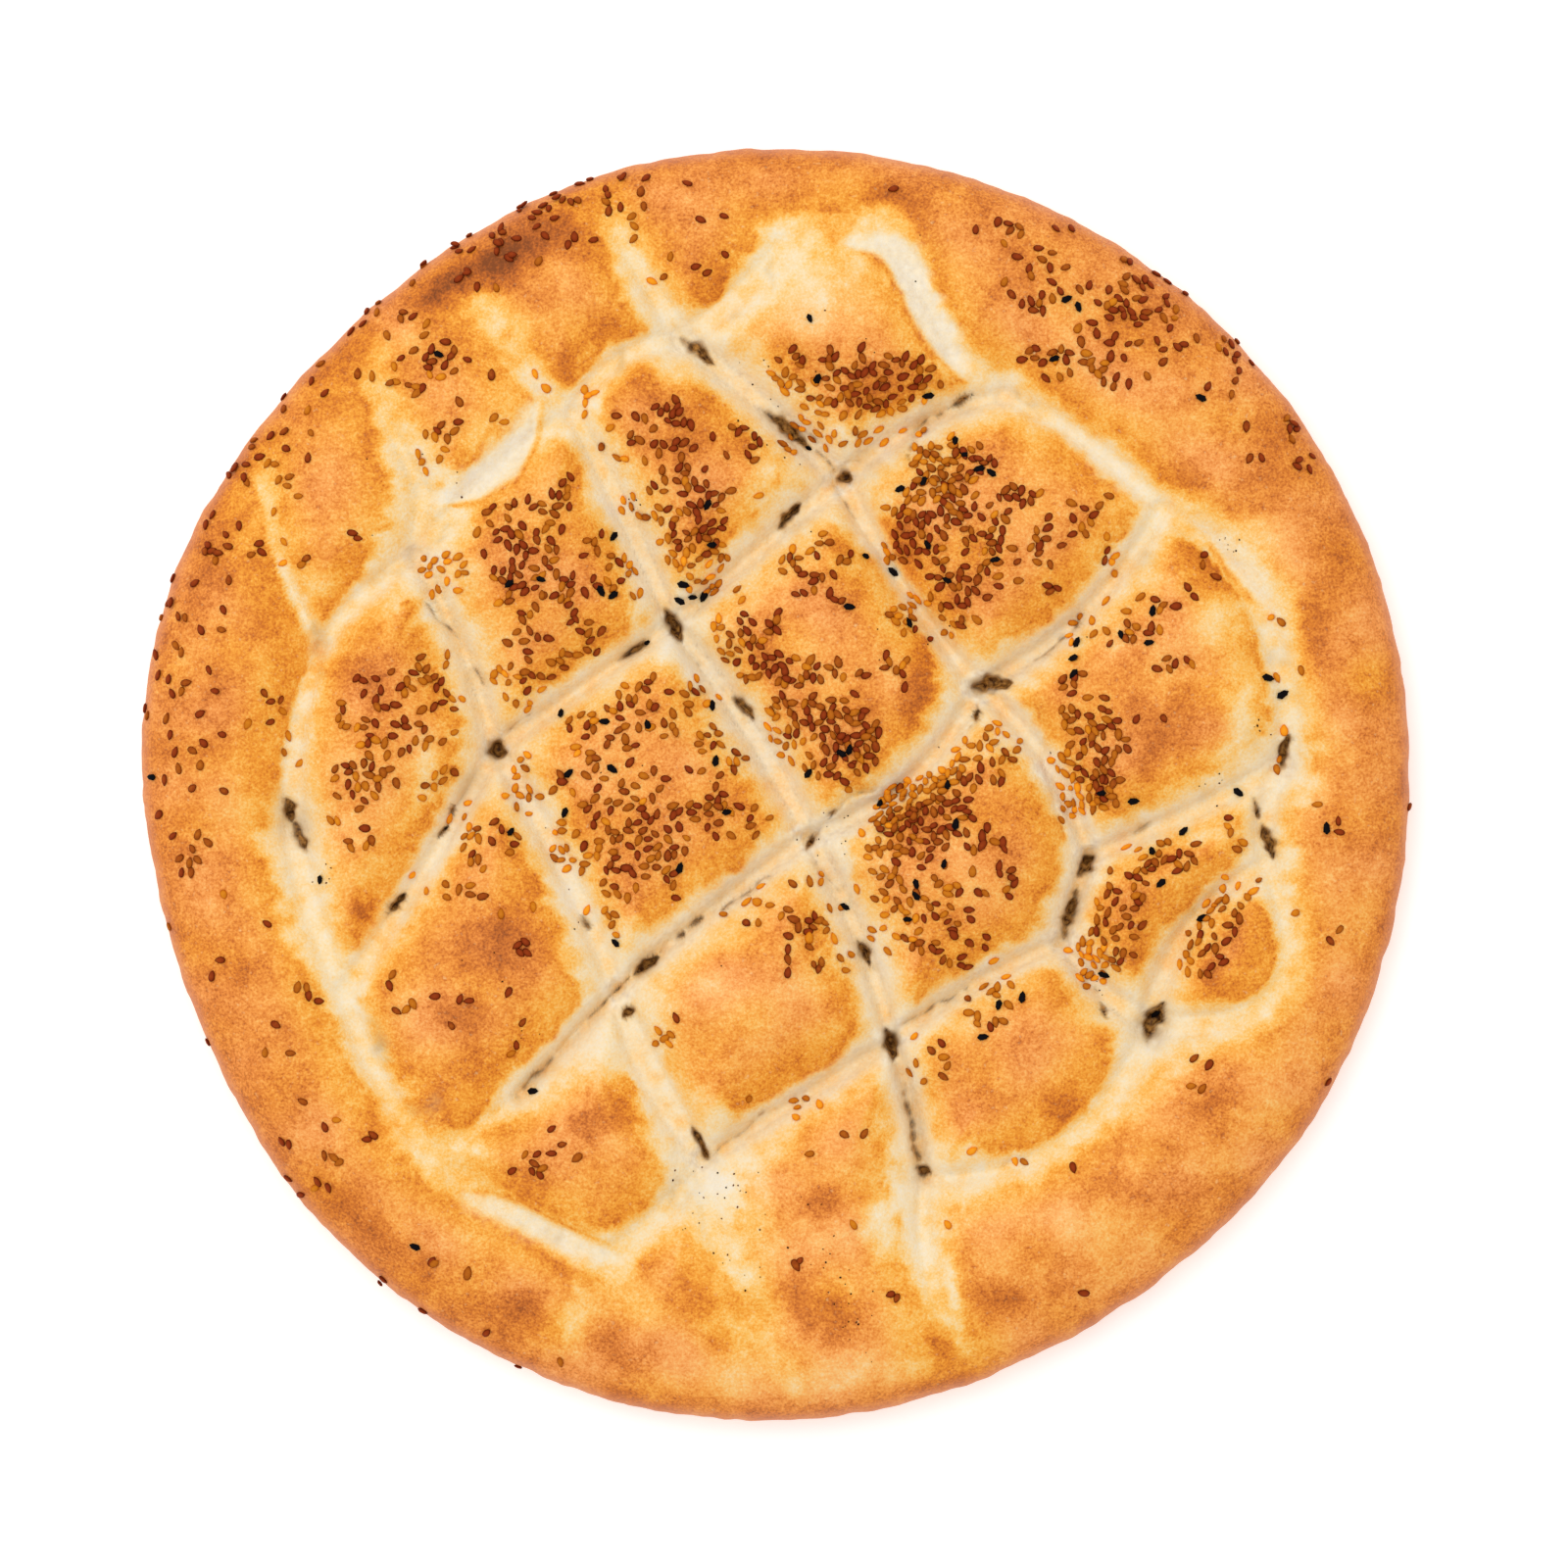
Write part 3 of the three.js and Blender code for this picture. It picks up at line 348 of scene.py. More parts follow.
# Where the crust has browned more, or less, than around it: middle, long and short reach, slant, change.
BLOTCHES = [
    (-72, 138, 32, 15, 32, 0.46), (-37, 92, 8, 9, 0, 0.1), (41, 20, 12, 4, 75, 0.12),
    (50, 46, 10, 8, 0, 0.1), (-15, -45, 9, 4, 30, 0.12), (-84, -60, 16, 8, 0, 0.06),
    (64, -64, 14, 10, 0, 0.04), (108, -32, 8, 5, -60, 0.08), (95, 8, 12, 8, 0, 0.07),
    (-138, -58, 22, 12, -65, 0.04), (-131, 67, 12, 4, 70, -0.1), (-154, 47, 8, 8, 0, -0.1),
    (-92, 125, 18, 7, 40, 0.2), (-58, 137, 14, 8, 0, 0.12), (-70, -41, 16, 13, 0, 0.3),
    (-144, -45, 22, 10, 75, 0.07), (-79, -58, 12, 10, 0, 0.16), (-105, -32, 9, 8, 0, 0.38),
    (-104, -54, 8, 6, 0, 0.18), (-108, 27, 12, 8, 0, 0.14), (100, 14, 16, 14, 0, 0.18),
    (13, -107, 11, 7, -20, 0.2), (14, -136, 14, 10, -10, 0.34), (6, -127, 9, 6, 0, 0.2),
    (-13, -142, 8, 6, 0, 0.2), (-25, -129, 10, 7, -20, 0.2), (-38, -142, 13, 9, -10, 0.22),
    (-64, -134, 12, 9, -20, 0.2), (42, -145, 6, 7, 0, 0.2), (57, -132, 14, 10, -20, 0.2),
    (-10, -123, 20, 4, -52, -0.15), (43, -128, 18, 4.5, -70, -0.3), (-51, -134, 13, 4, -90, -0.26),
    (-45, -122, 12, 4, 0, -0.14), (1, -147, 20, 5, -50, -0.16), (88, -102, 11, 9, 0, 0.1),
    (109, 57, 11, 7, -45, 0.18), (68, 88, 8, 6, -30, -0.15), (100, 82, 16, 4, -40, -0.12),
    (86, 72, 7, 5, -40, -0.12), (-132, 70, 14, 4, 70, -0.15), (-118, 50, 9, 6, 0, -0.2),
    (-103, 44, 9, 5, 10, -0.18), (-70, -94, 13, 7, 0, -0.14), (-125, -47, 22, 5, -71, -0.14),
    (-98, -74, 10, 4, -55, -0.14), (-91, -8, 14, 4, 60, -0.14), (-42, -130, 26, 9, -5, -0.1),
    (62, -116, 18, 9, 0, -0.08), (28, -106, 7, 8, 0, -0.1), (17, -55, 14, 5, 80, -0.14),
    (-15, -72, 14, 6, 0, -0.12), (0, -43, 6, 5, 0, -0.14), (125, -78, 16, 9, -50, -0.07),
    (40, -150, 16, 5, 10, -0.12), (115, -16, 6, 6, 0, -0.12), (48, 6, 9, 4, 35, -0.14),
    (25, 52, 12, 4, -45, -0.18), (55, 63, 6, 5, 0, -0.1), (5, 147, 20, 5, 0, -0.12),
    (-38, 118, 8, 5, 0, -0.13), (-96, 119, 8, 5, 0, -0.1), (-73, 98, 8, 6, 0, -0.1),
    (-52, -27, 12, 6, 0, 0.12), (-80, -50, 20, 12, 0, 0.05), (104, -38, 12, 5, 60, 0.12),
    (56, 50, 12, 8, 0, 0.08), (-96, 76, 7, 7, 0, 0.12), (36, 18, 14, 6, 80, 0.12),
    (-44, 93, 8, 6, 80, 0.12), (36, -8, 12, 8, 35, 0.12), (-26, 90, 17, 7, -45, 0.08),
    (110, -12, 8, 6, 0, -0.25), (16, 55, 12, 5, -35, -0.15), (-13, 127, 4, 6, 0, 0.15),
    (68, -117, 10, 8, 0, 0.08), (73, -82, 9, 7, 0, 0.22), (60, -72, 14, 14, 0, 0.06),
    (112, -80, 18, 10, 30, 0.08), (-46, -84, 12, 9, 0, 0.16), (-108, -111, 20, 9, -45, 0.2),
    (-95, -121, 16, 7, -40, 0.16), (-75, -130, 14, 9, -30, 0.1), (-90, -82, 12, 5, 20, 0.16),
    (-148, 50, 10, 24, -20, 0.14), (-114, 97, 9, 10, 0, 0.12), (128, 82, 14, 18, 0, 0.14),
    (106, 76, 14, 6, -50, 0.24), (118, 56, 4, 12, 30, 0.1), (134, 38, 8, 16, 0, 0.16),
    (-20, 134, 14, 14, 0, 0.08), (30, 148, 16, 6, -5, 0.13), (0, 148, 12, 6, 0, 0.1),
    (62, 131, 9, 9, 0, 0.12), (-20, 90, 14, 18, 0, 0.16), (-34, 103, 10, 7, -40, 0.2),
    (-42, 116, 9, 7, 0, 0.16), (35, 62, 20, 12, 60, 0.1), (38, 16, 8, 14, 0, 0.1),
    (28, 103, 16, 7, 0, 0.2), (57, -15, 8, 16, -20, 0.06), (-105, 92, 12, 14, 0, -0.1),
    (105, 90, 16, 8, 0, -0.16), (-60, -126, 16, 8, 0, -0.06), (-12, -118, 16, 14, 0, -0.22),
    (80, -112, 20, 12, 0, -0.14), (110, -92, 14, 10, 0, -0.1), (105, -74, 9, 9, 0, -0.1),
    (135, -72, 10, 14, 0, -0.12), (88, 143, 12, 8, -30, -0.06), (10, 124, 20, 14, 0, -0.34),
    (22, 136, 9, 8, 0, -0.3), (46, 127, 8, 12, 0, -0.12), (118, 20, 9, 20, 0, -0.34),
    (95, 50, 9, 7, 0, -0.26), (-12, -57, 16, 16, 0, -0.06), (-2, 75, 9, 14, 0, -0.25),
    (-6, 106, 10, 8, 0, -0.3), (140, -30, 12, 26, 0, -0.14), (0, -145, 76, 24, 0, -0.2),
    (55, -143, 20, 10, 20, -0.12), (15, -115, 24, 10, 0, -0.1), (30, -130, 26, 12, 0, -0.08),
    (-12, -35, 26, 8, 25, -0.18), (122, 62, 12, 9, 0, -0.2), (-72, 119, 18, 7, -10, -0.22),
    (-96, 113, 10, 9, 30, -0.22), (-98, 99, 8, 14, 30, -0.2), (-74, 91, 16, 8, 40, -0.18),
    (-121, 66, 6, 20, 8, -0.16), (-115, 10, 8, 20, 0, -0.08), (-88, 3, 7, 9, 0, -0.28),
    (-60, -7, 9, 8, 0, -0.3), (-140, -8, 16, 14, 0, -0.18), (-132, -31, 10, 14, 0, -0.18),
    (-131, 30, 10, 8, 0, -0.14), (-114, -72, 9, 20, 30, -0.1), (-78, -93, 12, 7, -10, -0.26),
    (-82, -112, 10, 5, -20, -0.12), (50, -108, 20, 8, 10, -0.24), (28, -113, 10, 13, 0, -0.28),
    (-5, -104, 7, 11, 0, -0.24), (-42, 146, 9, 8, 0, -0.16), (-18, 148, 12, 5, 0, -0.1),
    (56, 12, 9, 7, 30, -0.24), (95, -100, 10, 14, 30, -0.06), (112, 42, 10, 9, 0, -0.28),
    (112, 10, 6, 8, 0, -0.15), (130, 50, 8, 10, 0, -0.12), (85, 98, 30, 7, -42, -0.12),
    (-46, 92, 7, 6, 0, 0.2), (-54, 104, 4, 12, 10, 0.2), (-24, 63, 6, 12, -20, 0.2),
    (28, 66, 16, 6, -57, 0.18), (36, 27, 14, 5, 70, 0.16), (-121, 42, 4, 14, 10, 0.2),
    (-98, -86, 14, 8, 0, 0.14), (-74, -86, 12, 6, 20, 0.18), (-58, -119, 16, 4, -30, 0.15),
    (75, -90, 16, 8, 40, 0.1), (-42, -28, 14, 6, 0, 0.12), (78, 33, 8, 5, 0, 0.15),
    (107, -44, 4, 12, 30, 0.15),
]

# Where the dough in the furrows has stayed palest, or least pale: middle, long and short reach, slant, how
# much.
PALE_PLACES = [
    (32, 130, 13, 8, -68, 1), (-15, -101, 13, 10, 0, 1), (-33, -82, 20, 7, -50, 0.8),
    (-45, -66, 12, 7, 40, 0.6), (33, -112, 16, 8, -80, 0.8), (-64, -111, 22, 4, -22, 0.5),
    (14, -12, 10, 8, 0, 0.4), (-24, 31, 14, 8, -50, 0.8), (-4, 12, 16, 8, -45, 0.5),
    (95, 62, 8, 7, 0, 0.3), (-44, 64, 26, 7, -62, 0.7), (-52, -30, 16, 8, -75, 0.7),
    (27, -45, 14, 6, -70, 0.6), (-85, -17, 14, 6, 30, 0.6), (-118, -20, 22, 7, -75, 0.6),
    (-105, -60, 26, 6, -58, 0.6), (8, 130, 18, 8, 0, 0.4), (-30, 115, 16, 7, -20, 0.6),
    (-72, 82, 22, 7, 42, 0.6), (-112, 42, 16, 6, 30, 0.1), (-129, 68, 14, 3, -85, 0.4),
    (-60, -6, 9, 7, 0, 0.7), (90, -64, 16, 9, 0, 0.6), (122, 56, 14, 7, -55, 0.1),
    (128, 5, 20, 10, 90, 0.4), (55, 18, 16, 7, 0, 0.5), (68, 8, 18, 6, -70, 0.6), (12, 71, 14, 5, 0, 0.2),
    (53, -100, 16, 5, 0, 0.6), (84, 82, 24, 5, -38, 0.3), (17, 76, 10, 8, -40, -1),
    (-118, 33, 9, 6, 90, -0.9), (-72, 9, 12, 10, 0, -0.8), (56, 20, 12, 9, 0, -0.8),
    (-19, 55, 10, 6, 40, -0.7), (0, -8, 12, 8, -40, -0.7), (82, -20, 8, 6, 0, -0.7),
    (102, 68, 14, 6, -45, -0.6), (-103, -36, 10, 7, 50, -0.8), (38, 44, 6, 6, 0, -0.8),
    (-56, 17, 14, 5, 30, -0.7), (-24, -90, 14, 7, -70, -0.4), (-91, -86, 10, 8, -50, -1),
    (28, 56, 20, 4, -55, 0.3), (114, 53, 18, 4, -52, -0.8), (104, -36, 16, 5, 55, -0.8),
    (-91, 66, 8, 5, 90, -0.3), (-77, -86, 12, 6, 30, -0.6), (50, -144, 12, 6, -70, -1),
    (-80, -99, 12, 6, -40, -0.6),
]

# Soft grey brown patches of painted shade in and beside the furrows: middle, long and short reach, slant,
# and strength.
PAINTED_SHADE_SMUDGES = [
    (-39, 107, 4, 6, 0, 0.5), (-10, 118, 3, 2.5, 0, 0.4), (-1, 129.5, 2, 3, 0, 0.5),
    (-93, 58, 2, 6, 0, 0.5), (-98.5, 52.5, 5, 2.5, 40, 0.4), (-85.5, 65.3, 4, 1.6, 0, 0.5),
    (-116.5, 37, 5, 3.5, -40, 0.6), (-117, 30, 2.5, 4, 0, 0.45), (-123, 18, 2.5, 4, 0, 0.4),
    (-79, -1, 9, 3.5, 60, 0.6), (-122.5, -10, 13, 6, -66, 0.5), (-102, -65, 6, 4, -50, 1),
    (-89, -82, 4, 4, 0, 0.5), (-55, -114, 4, 3, -30, 0.45), (92, 57.5, 5, 3, 50, 0.5),
    (61, 98, 6, 2, -15, 0.6), (84, 78, 5, 3, -30, 0.3), (128.5, 31, 4, 4, 0, 0.5),
    (107, -3, 4, 3, 0, 0.35), (120, 12, 2, 4, 0, 0.35), (24.5, -68, 4, 3, 30, 0.5),
    (28, -60, 4, 4, 0, 0.35), (-24, -105, 6, 8, -40, 0.3), (16, -8, 12, 3, 40, 0.25),
    (95, -61, 9, 7, 60, 0.5), (20, 80, 9, 5, 20, 0.4), (36, 92, 12, 3, 50, 0.3),
    (-71.5, 8.5, 7, 7, 0, 0.6),
]

CELLS = 94  # squares along each side of the sheet of dough, before it is made finer
WALL_CUTS = 5
CROWDED_BAND = 30  # how wide a band inside the outline has the rings of squares crowd together
FINE_REACH = 6  # how near a furrow the mesh is made finer
FINEST_REACH = 1.2  # how near a crease it is made finer again
FAR_OFF = 99.0


def fullness(share, exponent):
    """How full a rounded section is at a share of its width: 0 at its foot, 1 at its crown."""
    left = 1 - np.clip(share, 0, 1)
    return (1 - left**exponent) ** (1 / exponent)


def smooth_step(value, low, high):
    """0 below `low`, 1 above `high`, and a soft rise between them."""
    share = np.clip((value - low) / (high - low), 0, 1)
    return share * share * (3 - 2 * share)


def falls_off(distance, reach):
    """1 on a line, and less and less away from it."""
    return np.exp(-((distance / reach) ** 2))


def lumps(x, y, size, seed, waves=14):
    """Soft lumps about half of `size` across, as a mix of slanting waves. Most lie between -1 and 1."""
    draw = np.random.default_rng(seed)
    total = np.zeros_like(x)
    for _ in range(waves):
        way = draw.uniform(0, 2 * math.pi)
        pitch = size * draw.uniform(0.65, 1.5)
        lead = draw.uniform(0, 2 * math.pi)
        total += np.cos(2 * math.pi * (x * math.cos(way) + y * math.sin(way)) / pitch + lead)
    return total / math.sqrt(2 * waves)


def uneven(x, y, layers):
    """Layers of lumps laid on one another."""
    return sum(strength * lumps(x, y, size, seed) for strength, size, seed in layers)


def outline_radius(angle):
    """How far the wandering outline lies from the middle."""
    radius = np.full_like(angle, LOAF_RADIUS)
    for lobes, swell, degrees in OUTLINE_LOBES:
        radius += swell * np.cos(lobes * (angle - math.radians(degrees)))
    return radius


def furrow_line(start, end, bow, *middle):
    """Points along a furrow, each with its x, y, depth, flat, and pale reach to the left and the right."""
    a = np.array(CROSSINGS[start] + CROSSINGS[start][-1:], float)
    b = np.array(CROSSINGS[end] + CROSSINGS[end][-1:], float)
    length = math.hypot(b[0] - a[0], b[1] - a[1])
    left = np.array([a[1] - b[1], b[0] - a[0]]) / length
    halfway = np.concatenate([(a[:2] + b[:2]) / 2 + bow * left, middle])
    pull = 2 * halfway - (a + b) / 2
    t = np.linspace(0, 1, math.ceil(length / FURROW_STEP) + 1)[:, None]
    return (1 - t) ** 2 * a + 2 * t * (1 - t) * pull + t * t * b


def nearest_on(line, x, y):
    """Distance from each place to a line of points, its side, and the line's own values at the nearest."""
    distance = np.full(x.shape, np.inf)
    side = np.zeros(x.shape)
    found = np.zeros((line.shape[1], x.size))
    for a, b in zip(line[:-1], line[1:]):
        dx, dy = b[0] - a[0], b[1] - a[1]
        t = np.clip(((x - a[0]) * dx + (y - a[1]) * dy) / (dx * dx + dy * dy), 0, 1)
        away = np.hypot(x - a[0] - t * dx, y - a[1] - t * dy)
        nearer = away < distance
        distance[nearer] = away[nearer]
        side[nearer] = np.sign(dx * (y - a[1]) - dy * (x - a[0]))[nearer]
        found[:, nearer] = a[:, None] + (b - a)[:, None] * t[nearer]
    return distance, side, found


FURROW_LINES = [(furrow_line(*furrow[:-1]), furrow[-1]) for furrow in FURROWS]


def inside_box(line, reach, x, y):
    """Which places lie in the box round a line, grown by a reach."""
    low, high = line[:, :2].min(0) - reach, line[:, :2].max(0) + reach
    return (x > low[0]) & (x < high[0]) & (y > low[1]) & (y < high[1])


def pressed(x, y):
    """What the fingertips did: depth, browning that is left, lips, distance, and how a shoulder faces."""
    weights = np.full(x.shape, 1e-12)
    total = np.zeros(x.shape)
    browned = np.ones(x.shape)
    lips = np.zeros(x.shape)
    nearest = np.full(x.shape, FAR_OFF)
    facing = np.zeros(x.shape)
    wander = uneven(x, y, PALE_WANDERING)
    for index, (line, rolled) in enumerate(FURROW_LINES):
        near = inside_box(line, PILLOW_SHOULDER + 5, x, y)
        px, py = x[near], y[near]
        distance, side, (fx, fy, depth, flat, pale_left, pale_right) = nearest_on(line, px, py)
        hot_and_shaded = ((fx - px) * HOT_AND_SHADED_SIDE[0] + (fy - py) * HOT_AND_SHADED_SIDE[1]) / np.maximum(distance, 0.5)
        share = np.maximum(0, distance - flat / 2) / PILLOW_SHOULDER
        left = depth * (1 - fullness(share * share / (share + FURROW_FOOT), PILLOW_FULLNESS))
        weights[near] += left**FURROW_MERGE
        total[near] += left ** (FURROW_MERGE + 1)
        turned = 0.5 + 0.5 * np.clip(side * distance / 2, -1, 1)
        reach = (pale_right + (pale_left - pale_right) * turned) * (1 + wander[near])
        # On the shoulders that face east-southeast, away from the light, the pale dough turns brown over a
        # shorter, sharper step: partly browning, partly painted shade.
        pale_from, pale_to = PALE_FROM + 0.25 * hot_and_shaded, PALE_TO - 0.3 * hot_and_shaded
        paleness = 1 - smooth_step(distance / np.maximum(reach, 0.8), pale_from, pale_to)
        browned[near] *= 1 - paleness * smooth_step(depth, 0.8, 5)
        swell = falls_off(distance - LIP_ASIDE, LIP_WIDTH) - 0.9 * falls_off(distance, FOLD_WIDTH)
        ripple = 1 + 0.35 * lumps(px, py, 11, 60 + index, 6)
        lips[near] += swell * ripple * rolled * smooth_step(depth, 4, 9)
        facing[near] = np.where(distance < nearest[near], hot_and_shaded, facing[near])
        nearest[near] = np.minimum(nearest[near], distance)
    return total / weights, browned, lips, nearest, facing


def in_oval(x, y, px, py, long, short, slant):
    """Each place as shares of an oval's half length and half width from its middle."""
    turn = math.radians(slant)
    dx, dy = x - px, y - py
    along = (dx * math.cos(turn) + dy * math.sin(turn)) / long
    across = (dy * math.cos(turn) - dx * math.sin(turn)) / short
    return along, across


def opened(x, y):
    """How deep in a pocket each place lies, from 0 at the lip to 1, and how near it is to one."""
    inside = np.zeros(x.shape)
    beside = np.zeros(x.shape)
    ragged = lumps(x, y, 3.4, 22, 10)
    for px, py, long, short, slant, strength in POCKETS:
        along, across = in_oval(x, y, px, py, long / 2, short / 2, slant)
        across = across + 0.3 * along**2 - 0.1
        depth_in = 1 - along**2 - np.abs(across) + 0.25 * ragged
        deeper = strength * (0.8 + 0.3 * along)
        inside = np.maximum(inside, deeper * np.clip(depth_in * 1.4, 0, 1))
        beside = np.maximum(beside, strength * smooth_step(depth_in, -1.1, 0.3))
    return inside, beside


def creased(x, y):
    """How deep in a crease each place lies, from 0 to 1, its soft shade, and the distance to a crease."""
    cut = np.zeros(x.shape)
    shade = np.zeros(x.shape)
    nearest = np.full(x.shape, FAR_OFF)
    wavy_x = x + 0.5 * lumps(x, y, 8, 23)
    wavy_y = y + 0.5 * lumps(x, y, 8, 24)
    broken = 0.8 + 0.35 * lumps(x, y, 4, 25)
    for points, width, strength in CREASES:
        line = np.array(points, float)
        steps = np.hypot(*np.diff(line, axis=0).T)
        line = np.column_stack([line, np.concatenate([[0], np.cumsum(steps)])])
        near = inside_box(line, 7, x, y)
        distance, _, (_, _, run) = nearest_on(line, wavy_x[near], wavy_y[near])
        taper = strength * smooth_step(run, -0.5, 2) * smooth_step(steps.sum() - run, -0.5, 2)
        cut[near] = np.maximum(cut[near], taper * broken[near] * falls_off(distance, 0.5 * width))
        soft_shade = taper * falls_off(distance, 0.5 * width + CREASE_SHADE_REACH)
        shade[near] = np.maximum(shade[near], soft_shade)
        nearest[near] = np.minimum(nearest[near], distance)
    return np.clip(cut, 0, 1), np.clip(shade, 0, 1), nearest


def torn(x, y):
    """How near each place is to a torn strip, how fully it is torn, and how the torn skin browned."""
    nearness = np.full(x.shape, -FAR_OFF)
    inside = np.zeros(x.shape)
    scorched = np.zeros(x.shape)
    ragged = uneven(x, y, TEAR_RAGGEDNESS)
    for points, browned_side, strength in TEARS:
        line = np.array(points, float)
        near = inside_box(line, 12, x, y)
        distance, side, (_, _, half_width) = nearest_on(line, x[near], y[near])
        sharp = {"left": side, "right": -side, "neither": 0 * side}[browned_side]
        width = half_width + np.where(sharp > 0, 0.15, 1.1) * ragged[near]
        fading = TEAR_FADING * np.clip(0.4 - 0.6 * sharp * np.minimum(distance / 2, 1), 0, 1)
        tear = strength * smooth_step(width - distance, -0.5 - fading, 1.6)
        inside[near] = np.maximum(inside[near], tear)
        nearness[near] = np.maximum(nearness[near], width - distance)
        edge = falls_off(distance - width - 0.4, 0.75) * (sharp > 0)
        edge *= smooth_step(half_width, 0.8, 2.4) * (0.75 + 0.3 * ragged[near])
        scorched[near] = np.maximum(scorched[near], edge)
    return nearness, inside, scorched


def patches(marks, x, y):
    """The sum of soft oval marks at each place, with wandering edges."""
    change = np.zeros(x.shape)
    wandering_x = x + uneven(x, y, MARK_WANDERING_X)
    wandering_y = y + uneven(x, y, MARK_WANDERING_Y)
    for px, py, long, short, slant, strength in marks:
        along, across = in_oval(wandering_x, wandering_y, px, py, long, short, slant)
        change += strength * np.clip(1 - along**2 - across**2, 0, 1) ** 1.5
    return change


def disc_place(u, v):
    """Rings of the unit square become rings of the unit disc: share of the radius, and angle."""
    share = np.maximum(np.abs(u), np.abs(v))
    flat = np.abs(u) >= np.abs(v)
    over = np.where(flat, u, v)
    over = np.where(over == 0, 1, over)
    turn = np.where(flat, v / over, 2 - u / over) * math.pi / 4
    signed = np.where(flat, u, v)
    return share, np.where(signed < 0, turn + math.pi, turn)


def on_top(u, v):
    """Place of a point of the sheet on the bread seen from above. Rings crowd towards the outline."""
    share, angle = disc_place(u, v)
    radius = outline_radius(angle)
    inner = radius - CROWDED_BAND
    even = inner / (inner + CROWDED_BAND * math.pi / 2)
    turn = np.clip((share - even) / (1 - even), 0, 1) * math.pi / 2
    reach = np.where(share < even, inner * share / even, inner + CROWDED_BAND * np.sin(turn))
    return reach * np.cos(angle), reach * np.sin(angle), radius - reach


# The sheet starts as a flat slab of squares: its upper face is the crust, its lower face the sole, and its
# edge the turn between them. The upper face is made finer where it is furrowed, and finer again at creases.
slab = bmesh.new()
bmesh.ops.create_grid(slab, x_segments=CELLS, y_segments=CELLS, size=1)
bmesh.ops.solidify(slab, geom=slab.faces[:], thickness=1)
upright = [e for e in slab.edges if abs(e.verts[0].co.z - e.verts[1].co.z) > 0.5]
bmesh.ops.subdivide_edges(slab, edges=upright, cuts=WALL_CUTS, use_grid_fill=True)
level = [e for e in slab.edges if e.verts[0].co.z > -0.99 and abs(e.verts[0].co.z - e.verts[1].co.z) < 0.01]
bmesh.ops.subdivide_edges(slab, edges=level, cuts=1, use_grid_fill=True)


def upper_edges_near(wanted):
    """Edges of the upper face whose ends are both wanted, a test on places in millimetres."""
    corners = np.array([v.co for v in slab.verts])
    x, y, inset = on_top(corners[:, 0], corners[:, 1])
    chosen = (corners[:, 2] > -0.01) & (inset > 1) & wanted(x, y)
    slab.verts.index_update()
    return [e for e in slab.edges if chosen[e.verts[0].index] and chosen[e.verts[1].index]]


def by_a_furrow(x, y):
    return (pressed(x, y)[3] < FINE_REACH) | (opened(x, y)[1] > 0) | (torn(x, y)[0] > -3)


def by_a_crease(x, y):
    return (creased(x, y)[2] < FINEST_REACH) | (opened(x, y)[1] > 0.35)


for wanted in (by_a_furrow, by_a_crease):
    bmesh.ops.subdivide_edges(slab, edges=upper_edges_near(wanted), cuts=1, use_grid_fill=True)

bread_mesh = bpy.data.meshes.new("bread_crust")
slab.normal_update()
slab.to_mesh(bread_mesh)
slab.free()

sheet = np.zeros(len(bread_mesh.vertices) * 3)
bread_mesh.vertices.foreach_get("co", sheet)
sheet_u, sheet_v, sheet_w = sheet.reshape(-1, 3).T
is_top = sheet_w > -1e-4
is_sole = sheet_w < -1 + 1e-4
is_turn = ~is_top & ~is_sole

x, y, inset = on_top(sheet_u, sheet_v)
furrow, browned, lips, furrow_distance, facing = pressed(x, y)
pocket, by_pocket = opened(x, y)
crease, by_crease, _ = creased(x, y)
_, is_torn, scorched = torn(x, y)
rim = fullness(inset / RIM_WIDTH, RIM_FULLNESS)

mounds = np.sin(x / MOUND_WIDE + np.sin(y / MOUND_WANDER)) * np.cos(y / MOUND_DEEP)
swells = MOUND_HEIGHT * mounds + ROLL_HEIGHT * np.sin((x - 2 * y) / ROLL_LENGTH)
envelope = EQUATOR_HEIGHT + (CROWN_HEIGHT + swells - EQUATOR_HEIGHT) * rim
bumps = uneven(x, y, CRUST_BUMPS)
height = envelope - furrow * rim + bumps * smooth_step(inset, 0, 12)
height += LIP_HEIGHT * lips - CREASE_DEPTH * crease - POCKET_DEPTH * pocket
height -= is_torn * (TEAR_SINKING - TEAR_ROUGHNESS * lumps(x, y, 2.8, 4))
height = np.maximum(LEAST_THICKNESS + 0.2 * lumps(x, y, 5, 5), height)

# The turn under the edge is a quarter of an ellipse, and the sole is flat but for the marks of the stone.
share, angle = disc_place(sheet_u, sheet_v)
turn = -sheet_w * math.pi / 2
edge_radius = outline_radius(angle)
turn_radius = edge_radius - FOOT_INSET * (1 - np.cos(turn))
sole_radius = share * (edge_radius - FOOT_INSET)
around = np.where(is_turn, turn_radius, sole_radius)
x = np.where(is_top, x, around * np.cos(angle))
y = np.where(is_top, y, around * np.sin(angle))
sole_marks = SOLE_MARK_DEPTH * (1 + lumps(x, y, 14, 6))
sole_marks *= smooth_step(edge_radius - FOOT_INSET - sole_radius, 0, 10)
height = np.where(is_turn, EQUATOR_HEIGHT * (1 - np.sin(turn)), height)
height = np.where(is_sole, np.clip(sole_marks, 0, 1), height)
on_the_side = smooth_step(-np.abs(height - EQUATOR_HEIGHT), -9, -3) * smooth_step(-inset, -14, -4)
swelling = uneven(x, y, SIDE_PUCKERS) * on_the_side * (is_top | is_turn)
x = x + swelling * np.cos(angle)
y = y + swelling * np.sin(angle)

